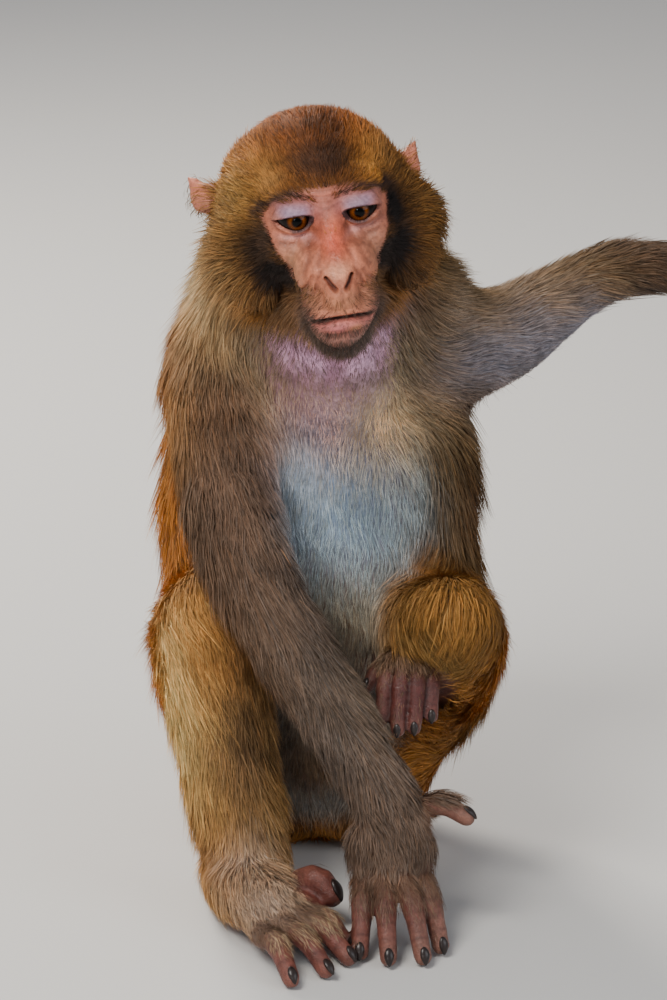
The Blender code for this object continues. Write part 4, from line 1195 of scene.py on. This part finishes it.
# Painted shade in the slit between the lips
gap = np.min([along_line(at, (a[0], a[1]), (b[0], b[1]))[0] for a, b in zip(mouth, mouth[1:])], axis=0)
mouth_slit_shade = np.exp(-((gap / 0.0009) ** 2)) * bare * (at[:, 1] < -0.05)
skin_paint = dab(skin_paint, mouth_slit_shade, paint(70, 38, 36), 0.9)
print("skin painted")

# %% Rims of the lids, darker than the lids themselves
for name, place in EYE_PLACES.items():
    off = at - np.array(place)
    height = (EYE_RADIUS + LID) * np.arctan2(off[:, 2], -off[:, 1])
    upper, lower = lid_edges(off[:, 0])
    outside_lids = np.maximum(np.maximum(height - upper, lower - height), np.abs(off[:, 0]) - OPEN_HALF_WIDTH)
    close = (np.linalg.norm(off, axis=1) < 0.013) & (off[:, 1] < 0)
    rim = np.exp(-(((outside_lids - 0.0002) / 0.0005) ** 2)) * close
    skin_paint = dab(skin_paint, rim, paint(92, 62, 62), 0.9)
    # Inside the opening, where the skin dips behind the eyeball, is painted shade
    skin_paint = dab(skin_paint, (outside_lids < 0) * close, paint(60, 30, 30))
print("rims painted")

# %% The skin as an object, with its paint
skin = in_scene("skin", skin_mesh)
colours = skin_mesh.color_attributes.new("marking", "FLOAT_COLOR", "POINT")
colours.data.foreach_set("color", np.hstack([skin_paint, np.ones((len(points), 1))]).ravel())
skin_mesh.shade_smooth()
print("skin is ready:", len(skin_mesh.polygons), "triangles")

# %% [markdown]
# ## The coat
#
# The coat is built as solid locks, because hair curves would not survive an export to a plain mesh. A lock
# is a thin tapered blade in a few steps. To make it follow the body, each point of the skin first finds
# where it would come to after one, two and three steps along the lie of the coat. Every lock then reads its
# path from the three corners of the triangle that it grows on. Nearly half a million locks are too many
# for operators, so they are made as arrays of numbers.

# %% Paths along the skin
STEP, STEPS = 0.010, 3  # three steps are about as long as the longest lock
lookup = BVHTree.FromPolygons(points.tolist(), [tuple(p.vertices) for p in skin_mesh.polygons])
corners = np.empty(len(skin_mesh.polygons) * 3, int)
skin_mesh.polygons.foreach_get("vertices", corners)
corners = corners.reshape(-1, 3)
paths, path_normals = [points], [normals]
grows = np.flatnonzero(density > 0.02)
heading = flow
for _ in range(STEPS):
    place, normal, way = paths[-1].copy(), path_normals[-1].copy(), heading.copy()
    wanted = place + way * STEP
    for index in grows.tolist():
        found, surface, face_index, _ = lookup.find_nearest(wanted[index])
        place[index] = found
        normal[index] = surface
        way[index] = flow[corners[face_index, 0]]
    normal = unit(normal * 0.6 + path_normals[-1] * 0.4)
    heading = unit(heading * 0.4 + way * 0.6)
    paths.append(relaxed(place, edges, 2))
    path_normals.append(normal)
paths, path_normals = np.array(paths), np.array(path_normals)
print("paths:", len(grows), "points of skin with hair")

# %% [markdown]
# ### Where locks take root
#
# Locks are scattered over the skin by area and by density, spread evenly so that no bald spots are left.
# Each piece of coat also gets a map of its own. The skin under it is unwrapped, and every lock takes a
# small patch of that map at its root, so that its colour survives a bake to a texture.

# %% Where locks take root
triangles = points[corners]
first_edges, second_edges = triangles[:, 1] - triangles[:, 0], triangles[:, 2] - triangles[:, 0]
areas = np.linalg.norm(np.cross(first_edges, second_edges), axis=1) / 2
JITTER = chance.random((4096, 3))


def blend(values, faces, parts):
    """Values of the three corners of each face, mixed by the parts that each corner has."""
    return (values[corners[faces]] * parts[:, :, None]).sum(1)


def sample_roots(name, count):
    """Faces to grow on and a random place in each, as many as the coat's density asks for."""
    wanted = density * shares[PIECES.index(name)]
    chances = areas * wanted[corners].mean(1) * (wanted[corners].min(1) > 0.01)
    marks = np.cumsum(chances)
    marks /= marks[-1]
    faces = np.searchsorted(marks, (np.arange(count) + chance.random(count)) / count)
    faces = np.minimum(faces, len(corners) - 1)
    u, v = chance.random((2, count))
    fold = u + v > 1
    u, v = np.where(fold, 1 - u, u), np.where(fold, 1 - v, v)
    return faces, np.stack([1 - u - v, u, v], 1)


def unwrapped(faces):
    """The skin under one piece of coat, unwrapped: each of its faces' three places on the map."""
    used, inverse = np.unique(corners[faces], return_inverse=True)
    patch = bpy.data.meshes.new("patch")
    patch.from_pydata(points[used].tolist(), [], inverse.reshape(-1, 3).tolist())
    holder = in_scene("patch", patch)
    bpy.ops.object.select_all(action="DESELECT")
    holder.select_set(True)
    bpy.context.view_layer.objects.active = holder
    patch.uv_layers.new(name="map")
    bpy.ops.object.mode_set(mode="EDIT")
    bpy.ops.mesh.select_all(action="SELECT")
    bpy.ops.uv.smart_project(angle_limit=1.15, island_margin=0.003, scale_to_bounds=True)
    bpy.ops.object.mode_set(mode="OBJECT")
    flat = np.empty(len(faces) * 6)
    patch.uv_layers["map"].data.foreach_get("uv", flat)
    bpy.data.objects.remove(holder, do_unlink=True)
    return flat.reshape(-1, 3, 2)


# %% [markdown]
# ### One lock
#
# A lock is a thin blade with two corners at its root, two at its middle and one at its tip. Chance gives
# each its own length, width, lift and swing. Slow waves make neighbours lean alike, and the tips of a small
# cell gather towards one place, as real hair does in a coat.

# %% The spine of each lock, which follows the skin
TIMES = np.array([0.0, 0.5, 1.0])  # the root, the middle and the tip of a lock


def spines(faces, parts, length):
    """Where each lock would run if it lay on the skin, and the way that the skin faces there."""
    places, ups = [], []
    for time in TIMES:
        travelled = np.clip(length * time / STEP, 0, STEPS - 1e-6)
        step = travelled.astype(int)
        share = (travelled - step)[:, None]
        spots, facing = np.zeros((2, len(faces), 3))
        for corner in range(3):
            point, part = corners[faces, corner], parts[:, corner : corner + 1]
            spots += part * ((1 - share) * paths[step, point] + share * paths[step + 1, point])
            facing += part * ((1 - share) * path_normals[step, point] + share * path_normals[step + 1, point])
        places.append(spots)
        ups.append(unit(facing))
    return places, ups


def patchy(places, scale):
    """A smooth random number from about -1 to 1 at each place."""
    waves = np.zeros(len(places))
    for turn in range(5):
        direction = unit(JITTER[turn * 7 : turn * 7 + 1] - 0.5)[0]
        wave_length = scale * (0.7 + 0.25 * turn)
        waves += np.sin(places @ direction * FULL_TURN / wave_length + 9 * JITTER[turn, 0])
    return waves / 2.5


print("a lock has", len(TIMES), "stations")

# %% Shape the locks of one piece
PROFILE = np.array([0.85, 0.90, 0.0])  # how wide a lock is at each station
CLEARANCE = (-0.0003, 0.0004, 0.0002)  # so that no lock runs under the skin
CLUMP = 0.0065  # tips gather towards one place in each cell of this size
SCATTER = (73856093, 19349663, 83492791)  # large odd numbers, which give each cell a row of JITTER


def to_clump(start):
    """The way from each root to the place where its cell's tips gather."""
    cell = np.floor(start / CLUMP).astype(int)
    mixed = cell * SCATTER
    key = (mixed[:, 0] ^ mixed[:, 1] ^ mixed[:, 2]) & (len(JITTER) - 1)
    return (cell + JITTER[key]) * CLUMP - start


def blades(faces, parts, start):
    """The five corners of each lock: two at its root, two at its middle and one at its tip."""
    count = len(faces)
    length, width, lift, _ = blend(coat, faces, parts).T
    length = length * 0.001 * chance.uniform(0.65, 1.2, count)
    width = width * 0.0005 * chance.uniform(0.6, 1.3, count)
    ruffled = np.maximum(0.7, 1 + 0.3 * patchy(start, 0.03))
    lift = np.radians(lift * chance.uniform(0.55, 1.5, count) * ruffled)
    swing = chance.normal(0, 0.20, count) + 0.22 * patchy(start, 0.020)
    roll = chance.normal(0, 0.45, count)
    pull = 0.25 + 0.55 * chance.random(count) * (0.6 + 0.4 * patchy(start, 0.05))
    gather = to_clump(start)
    spine, ups = spines(faces, parts, length)
    sides = []
    for index, time in enumerate(TIMES):
        onward = spine[min(index + 1, 2)] - spine[max(index - 1, 0)]
        side = unit(np.cross(ups[index], onward))
        height = CLEARANCE[index] + length * np.sin(lift) * time * (1.3 - 0.4 * time)
        inward = gather - (gather * ups[index]).sum(1)[:, None] * ups[index]
        spine[index] = (
            spine[index]
            + side * (length * time * swing)[:, None]
            + inward * (pull * time**1.5 * np.minimum(1, length / 0.012))[:, None]
            + ups[index] * height[:, None]
        )
        sides.append(side * np.cos(roll)[:, None] + ups[index] * np.sin(roll)[:, None])
    places = np.empty((count, 5, 3))
    for index in range(2):
        half = sides[index] * (width * PROFILE[index])[:, None]
        places[:, 2 * index] = spine[index] + half
        places[:, 2 * index + 1] = spine[index] - half
    places[:, 4] = spine[2]
    places[:, :, 2] = np.maximum(places[:, :, 2], FLOOR_GAP)
    return places


print("tips gather in cells of", 1000 * CLUMP, "mm")

# %% Colour the locks of one piece
CONTRAST = {"face": 1.0, "crown": 1.0, "neck": 0.8, "back": 0.8}  # of dark and light locks, side by side
OTHER_CONTRAST = 0.6


def hair_tones(name, faces, parts, start):
    """A colour for each corner of each lock, from the roots' paint to the tips'."""
    count, contrast = len(faces), CONTRAST.get(name, OTHER_CONTRAST)
    shade = (1 + 0.38 * contrast * chance.uniform(-1, 1, count)) * (1 + 0.18 * patchy(start, 0.018))
    shade *= np.where(chance.random(count) < 0.22, 1 - 0.55 * contrast, 1 + 0.08 * contrast)
    warmth = chance.normal(0, 0.06, count)
    tint = np.stack([1 + warmth, np.ones(count), 1 - warmth], 1) * shade[:, None]
    root, tip = blend(roots, faces, parts) * tint, blend(tips, faces, parts) * tint
    tones = np.ones((count, 5, 4))
    for corner, time in enumerate((0, 0, 0.6, 0.6, 1.05)):
        tones[:, corner, :3] = root + (tip - root) * time
    return tones


print("contrast of the locks:", CONTRAST, "and elsewhere", OTHER_CONTRAST)

# %% Turn locks into a mesh
RING = np.array((0, 1, 3, 2, 2, 3, 4))
ACROSS = np.array((0.5, -0.5, 0.5, -0.5, 0.0))
ALONG = np.array((0.0, 0.0, 0.5, 0.5, 1.0))
PATCH = 0.003  # of a lock on the map, at its root's place on the unwrapped skin


def coat_piece(name, count):
    faces, parts = sample_roots(name, count)
    start = blend(points, faces, parts)
    places = blades(faces, parts, start)
    tones = hair_tones(name, faces, parts, start)
    mesh = bpy.data.meshes.new(f"coat_{name}")
    mesh.vertices.add(count * 5)
    mesh.vertices.foreach_set("co", places.ravel())
    mesh.loops.add(count * 7)
    mesh.loops.foreach_set("vertex_index", (RING + 5 * np.arange(count)[:, None]).ravel())
    mesh.polygons.add(count * 2)
    mesh.polygons.foreach_set("loop_start", (np.array((0, 4)) + 7 * np.arange(count)[:, None]).ravel())
    mesh.update(calc_edges=True)
    layer = mesh.color_attributes.new("hair", "FLOAT_COLOR", "POINT")
    layer.data.foreach_set("color", tones.ravel())
    grown, where = np.unique(faces, return_inverse=True)
    middle = (unwrapped(grown)[where] * parts[:, :, None]).sum(1)
    spread = np.stack([ACROSS[RING], ALONG[RING] - 0.5], 1) * PATCH
    uv = mesh.uv_layers.new(name="OFBake")
    uv.data.foreach_set("uv", (middle[:, None, :] + spread).ravel())
    mesh.shade_smooth()
    mesh.materials.append(hair_material)
    piece = in_scene(f"coat_{name}", mesh)
    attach(piece, "root")
    print(f"coat_{name}: {count} locks, {count * 3} triangles")


# %% [markdown]
# ## Materials
#
# The finishes are nodes over the painted colours. Nodes stay sharp close up, need no file, and can be
# changed by one number. A few short helpers keep each material easy to read.

# %% Node helpers
def new_material(name, roughness, **settings):
    material = bpy.data.materials.new(name)
    material.use_nodes = True
    shader = material.node_tree.nodes["Principled BSDF"]
    shader.inputs["Roughness"].default_value = roughness
    for key, value in settings.items():
        shader.inputs[key.replace("_", " ")].default_value = value
    return material, material.node_tree, shader


def node(tree, kind, **settings):
    made = tree.nodes.new(kind)
    for key, value in settings.items():
        if key in made.inputs:
            made.inputs[key].default_value = value
        else:
            setattr(made, key, value)
    return made


def painted(tree, attribute):
    return node(tree, "ShaderNodeAttribute", attribute_name=attribute).outputs["Color"]


def noise(tree, scale, detail=3.0, roughness=0.5):
    place = node(tree, "ShaderNodeTexCoord").outputs["Object"]
    made = node(tree, "ShaderNodeTexNoise", Scale=scale, Detail=detail, Roughness=roughness)
    tree.links.new(place, made.inputs["Vector"])
    return made.outputs["Fac"]


def ranged(tree, value, low, high, start=0.35, end=0.65):
    made = node(tree, "ShaderNodeMapRange")
    for key, number in (("From Min", start), ("From Max", end), ("To Min", low), ("To Max", high)):
        made.inputs[key].default_value = number
    tree.links.new(value, made.inputs["Value"])
    return made.outputs["Result"]


def brightened(tree, colour, factor):
    made = node(tree, "ShaderNodeHueSaturation")
    tree.links.new(colour, made.inputs["Color"])
    tree.links.new(factor, made.inputs["Value"])
    return made.outputs["Color"]


# %% [markdown]
# ### Hair
#
# A hair has a soft gloss, and its colour is never quite even. Fine noise streaks the painted colour, and
# the highlight is weak. Blender's own hair shader is made for curves, and would be lost on blades of mesh
# when they are exported.

# %% Hair
hair_material, tree, shader = new_material("hair", 0.65, Specular_IOR_Level=0.16)
streaks = ranged(tree, noise(tree, 260.0, 2.0), 0.86, 1.14)
tree.links.new(brightened(tree, painted(tree, "hair"), streaks), shader.inputs["Base Color"])

print("material: hair")

# %% [markdown]
# ### Skin
#
# Bare skin is mottled, and fine wrinkles cross it between the pores. Two sizes of noise mottle the painted
# markings. The borders of small cells, bent by noise and flattened so that they run level, make the
# wrinkles, and finer noise makes the pores. Both are bump, because they are too small to be worth polygons.

# %% Skin
skin_material, tree, shader = new_material("skin", 0.5, Specular_IOR_Level=0.4)
blotches = ranged(tree, noise(tree, 110.0, 6.0, 0.65), 0.70, 1.20)
mottled = brightened(tree, painted(tree, "marking"), blotches)
mottled = brightened(tree, mottled, ranged(tree, noise(tree, 520.0, 3.0, 0.6), 0.82, 1.14))
tree.links.new(mottled, shader.inputs["Base Color"])
tree.links.new(ranged(tree, noise(tree, 150.0), 0.34, 0.58), shader.inputs["Roughness"])
place = node(tree, "ShaderNodeTexCoord").outputs["Object"]
wander = node(tree, "ShaderNodeTexNoise", Scale=160.0, Detail=3.0)
tree.links.new(place, wander.inputs["Vector"])
bent = node(tree, "ShaderNodeVectorMath", operation="MULTIPLY_ADD")
bent.inputs[1].default_value = (0.0040, 0.0040, 0.0040)
tree.links.new(wander.outputs["Color"], bent.inputs[0])
tree.links.new(place, bent.inputs[2])
stretch = node(tree, "ShaderNodeMapping")
stretch.inputs["Scale"].default_value = (1.0, 1.0, 2.2)
tree.links.new(bent.outputs["Vector"], stretch.inputs["Vector"])
cracks = node(tree, "ShaderNodeTexVoronoi", feature="DISTANCE_TO_EDGE", Scale=620.0)
tree.links.new(stretch.outputs["Vector"], cracks.inputs["Vector"])
depth = node(tree, "ShaderNodeMath", operation="ADD")
tree.links.new(ranged(tree, cracks.outputs["Distance"], 0.0, 0.25, 0.0, 0.22), depth.inputs[0])
tree.links.new(noise(tree, 1100.0, 4.0), depth.inputs[1])
bump = node(tree, "ShaderNodeBump", Strength=0.7, Distance=0.0005)
tree.links.new(depth.outputs["Value"], bump.inputs["Height"])
tree.links.new(bump.outputs["Normal"], shader.inputs["Normal"])
skin_mesh.materials.append(skin_material)
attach(skin, "root")
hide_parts(*[name for name in frame["nodes"] if not name.startswith("eye")])
print("material: skin")

# %% [markdown]
# ## Eyes
#
# The eyeball is a ball with a shallow bulge for the cornea. The iris and the pupil are rings of colour about
# the line of sight, and a Mapping node turns the pattern to that line. A clear coat on the same surface
# takes the place of a second, transparent shell, which would be hard to bake.

# %% The eye's material
GAZE = Vector((0.0, -1.0, 0.07))
CORNEA_REACH, CORNEA_BULGE = 0.0056, 0.0007


def eye_material(name, centre, turned):
    material, tree, shader = new_material(
        name, 0.3, Specular_IOR_Level=0.0, Coat_Weight=1.0, Coat_Roughness=0.03, Coat_IOR=1.24
    )
    place = node(tree, "ShaderNodeTexCoord").outputs["Object"]
    aim = node(tree, "ShaderNodeMapping", vector_type="TEXTURE")
    aim.inputs["Location"].default_value = centre
    aim.inputs["Rotation"].default_value = turned.to_euler()
    flat = node(tree, "ShaderNodeVectorMath", operation="MULTIPLY")
    flat.inputs[1].default_value = (1, 1, 0)
    length = node(tree, "ShaderNodeVectorMath", operation="LENGTH")
    scaled = node(tree, "ShaderNodeMath", operation="MULTIPLY")
    scaled.inputs[1].default_value = 100.0
    rays = node(tree, "ShaderNodeVectorMath", operation="NORMALIZE")
    fibres = node(tree, "ShaderNodeTexNoise", Scale=9.0, Detail=4.0)
    rings = node(tree, "ShaderNodeValToRGB")
    ramp_points = rings.color_ramp.elements
    ramp_points[0].position, ramp_points[0].color = 0.215, (0.0, 0.0, 0.0, 1)
    ramp_points[1].position, ramp_points[1].color = 0.245, (*paint(56, 24, 3), 1)
    for position, colour in (
        (0.32, paint(104, 52, 5)),
        (0.42, paint(80, 37, 4)),
        (0.475, paint(46, 21, 6)),
        (0.505, paint(16, 9, 6)),
        (0.60, paint(20, 12, 10)),
    ):
        added = ramp_points.new(position)
        added.color = (*colour, 1)
    links = tree.links
    links.new(place, aim.inputs["Vector"])
    links.new(aim.outputs["Vector"], flat.inputs[0])
    links.new(flat.outputs["Vector"], length.inputs[0])
    links.new(length.outputs["Value"], scaled.inputs[0])
    links.new(scaled.outputs["Value"], rings.inputs["Fac"])
    links.new(flat.outputs["Vector"], rays.inputs[0])
    links.new(rays.outputs["Vector"], fibres.inputs["Vector"])
    colour = brightened(tree, rings.outputs["Color"], ranged(tree, fibres.outputs["Fac"], 0.7, 1.35))
    links.new(colour, shader.inputs["Base Color"])
    return material


print("the cornea stands out", 1000 * CORNEA_BULGE, "mm")

# %% Eyes
for name, place in EYE_PLACES.items():
    centre = HEAD @ place
    turned = (HEAD.to_3x3() @ GAZE).to_track_quat("Z", "Y")
    shape = bmesh.new()
    bmesh.ops.create_uvsphere(shape, u_segments=64, v_segments=48, radius=EYE_RADIUS)
    for vertex in shape.verts:
        from_axis = math.hypot(vertex.co.x, vertex.co.y)
        if vertex.co.z > 0 and from_axis < CORNEA_REACH:
            vertex.co.z += CORNEA_BULGE * (1 - (from_axis / CORNEA_REACH) ** 2) ** 1.2
    socket = Matrix.Translation(centre) @ turned.to_matrix().to_4x4()
    bmesh.ops.transform(shape, matrix=socket, verts=shape.verts)
    mesh = mesh_from(shape, f"{name}_eyeball")
    mesh.shade_smooth()
    mesh.materials.append(eye_material(f"{name}_iris", centre, turned))
    eye = in_scene(f"{name}_eyeball", mesh)
    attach(eye, "root")
    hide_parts(f"eye_{name}")
print("eyes: two")

# %% [markdown]
# ## Nails
#
# A macaque has narrow, arched, dark nails. Each is a long flattened ball, half sunk in the end of its
# digit, so that only the arched plate shows. A thin bent plate would look the same, but its edges could
# stand off the skin.

# %% Nails
nail_material, tree, shader = new_material("nail", 0.32, Specular_IOR_Level=0.4)
shade = node(tree, "ShaderNodeValToRGB")
shade.color_ramp.elements[0].color = (0.008, 0.006, 0.006, 1)
shade.color_ramp.elements[1].color = (0.032, 0.020, 0.017, 1)
tree.links.new(noise(tree, 320.0), shade.inputs["Fac"])
tree.links.new(shade.outputs["Color"], shader.inputs["Base Color"])
for name, places in DIGITS.items():
    shape = bmesh.new()
    for root, tip in places:
        share = digit_share(name, root)
        root, tip = Vector(root), Vector(tip)
        ahead = (tip - between(root, tip, 0.52, (0, 0, BENDS[name]))).normalized()
        across = ahead.cross(Vector((0, 0, 1))).normalized()
        up = across.cross(ahead)
        seat, up, *_ = lookup.find_nearest(tip + up * 0.006 * share - ahead * 0.0005)
        ahead = (ahead - ahead.dot(up) * up).normalized()
        turned = Matrix((ahead.cross(up), ahead, up)).transposed().to_4x4()
        seat += ahead * 0.0014 - up * 0.0003
        size = Matrix.Diagonal((0.0025 * share, 0.0048 * share, 0.0013 * share, 1))
        place = Matrix.Translation(seat) @ turned @ Matrix.Rotation(math.radians(-12), 4, "X") @ size
        plate = bmesh.ops.create_uvsphere(shape, u_segments=18, v_segments=12, radius=1)["verts"]
        for vertex in plate:
            vertex.co.x *= 1 - 0.45 * max(vertex.co.y, 0)
            vertex.co.z -= 0.5 * vertex.co.y**2
        bmesh.ops.transform(shape, matrix=place, verts=plate)
    mesh = mesh_from(shape, name.replace(" ", "_") + "_nails")
    mesh.shade_smooth()
    mesh.materials.append(nail_material)
    nails = in_scene(mesh.name, mesh)
    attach(nails, "root")
print("nails: twenty")

# %% [markdown]
# ## Grow the coat
#
# Each stretch of coat is a piece of its own, small enough to edit and to store. Short hair needs more locks
# for its area than long hair does, so the head and the limbs get the most.

# %% Grow every piece
LOCKS = {
    "face": 52000,
    "crown": 46000,
    "neck": 50000,
    "back": 56000,
    "front": 26000,
    "right_arm": 60000,
    "left_arm": 46000,
    "right_leg": 62000,
    "left_leg": 48000,
    "tail": 13000,
}
for name, count in LOCKS.items():
    coat_piece(name, count)
print("the coat:", sum(LOCKS.values()) * 3, "triangles")

# %% [markdown]
# ## Floor, light and camera
#
# The floor is one plain pale sheet under a pale sky. A large soft light stands high on the animal's right,
# a weaker one on its left opens the shadows, a small low one reaches under the brow, and one behind edges
# the fur. The camera looks down a little with a long lens.

# %% The stage
shape = bmesh.new()
bmesh.ops.create_grid(shape, x_segments=1, y_segments=1, size=9)
mesh = mesh_from(shape, "floor")
floor_material, tree, shader = new_material("plain_floor", 0.8, Base_Color=(0.62, 0.61, 0.59, 1))
mesh.materials.append(floor_material)
floor = in_scene("floor", mesh)

world = bpy.data.worlds.new("studio")
world.use_nodes = True
world.node_tree.nodes["Background"].inputs["Color"].default_value = (0.86, 0.90, 1.0, 1)
world.node_tree.nodes["Background"].inputs["Strength"].default_value = 0.34
bpy.context.scene.world = world


def area_light(name, place, target, size, watts, colour=(1, 1, 1)):
    light = bpy.data.lights.new(name, "AREA")
    light.size, light.energy, light.color = size, watts, colour
    lamp = in_scene(name, light)
    lamp.location = place
    lamp.rotation_euler = (Vector(target) - lamp.location).to_track_quat("-Z", "Y").to_euler()


area_light("key", (-0.6, -1.0, 1.6), (0, -0.05, 0.22), 0.7, 30, (1.0, 0.96, 0.90))
area_light("fill", (1.3, -1.0, 0.8), (0, -0.05, 0.20), 1.0, 9, (0.90, 0.95, 1.0))
area_light("low front", (-0.45, -2.5, 0.66), (0, -0.1, 0.36), 0.22, 6, (1.0, 0.98, 0.95))
area_light("edge", (-0.6, 1.0, 1.1), (0, 0, 0.25), 0.5, 26, (1.0, 0.93, 0.84))

print("floor and lights set")

# %% The camera
VIEW_TILT, DISTANCE = math.radians(20), 2.78
aim = Vector((0.00675, -0.05, 0.2071))
camera_data = bpy.data.cameras.new("camera")
camera_data.lens, camera_data.sensor_width = 200, 36
camera = in_scene("camera", camera_data)
camera.location = aim + DISTANCE * Vector((0, -math.cos(VIEW_TILT), math.sin(VIEW_TILT)))
camera.rotation_euler = (aim - camera.location).to_track_quat("-Z", "Y").to_euler()
bpy.context.scene.camera = camera
print("camera set")
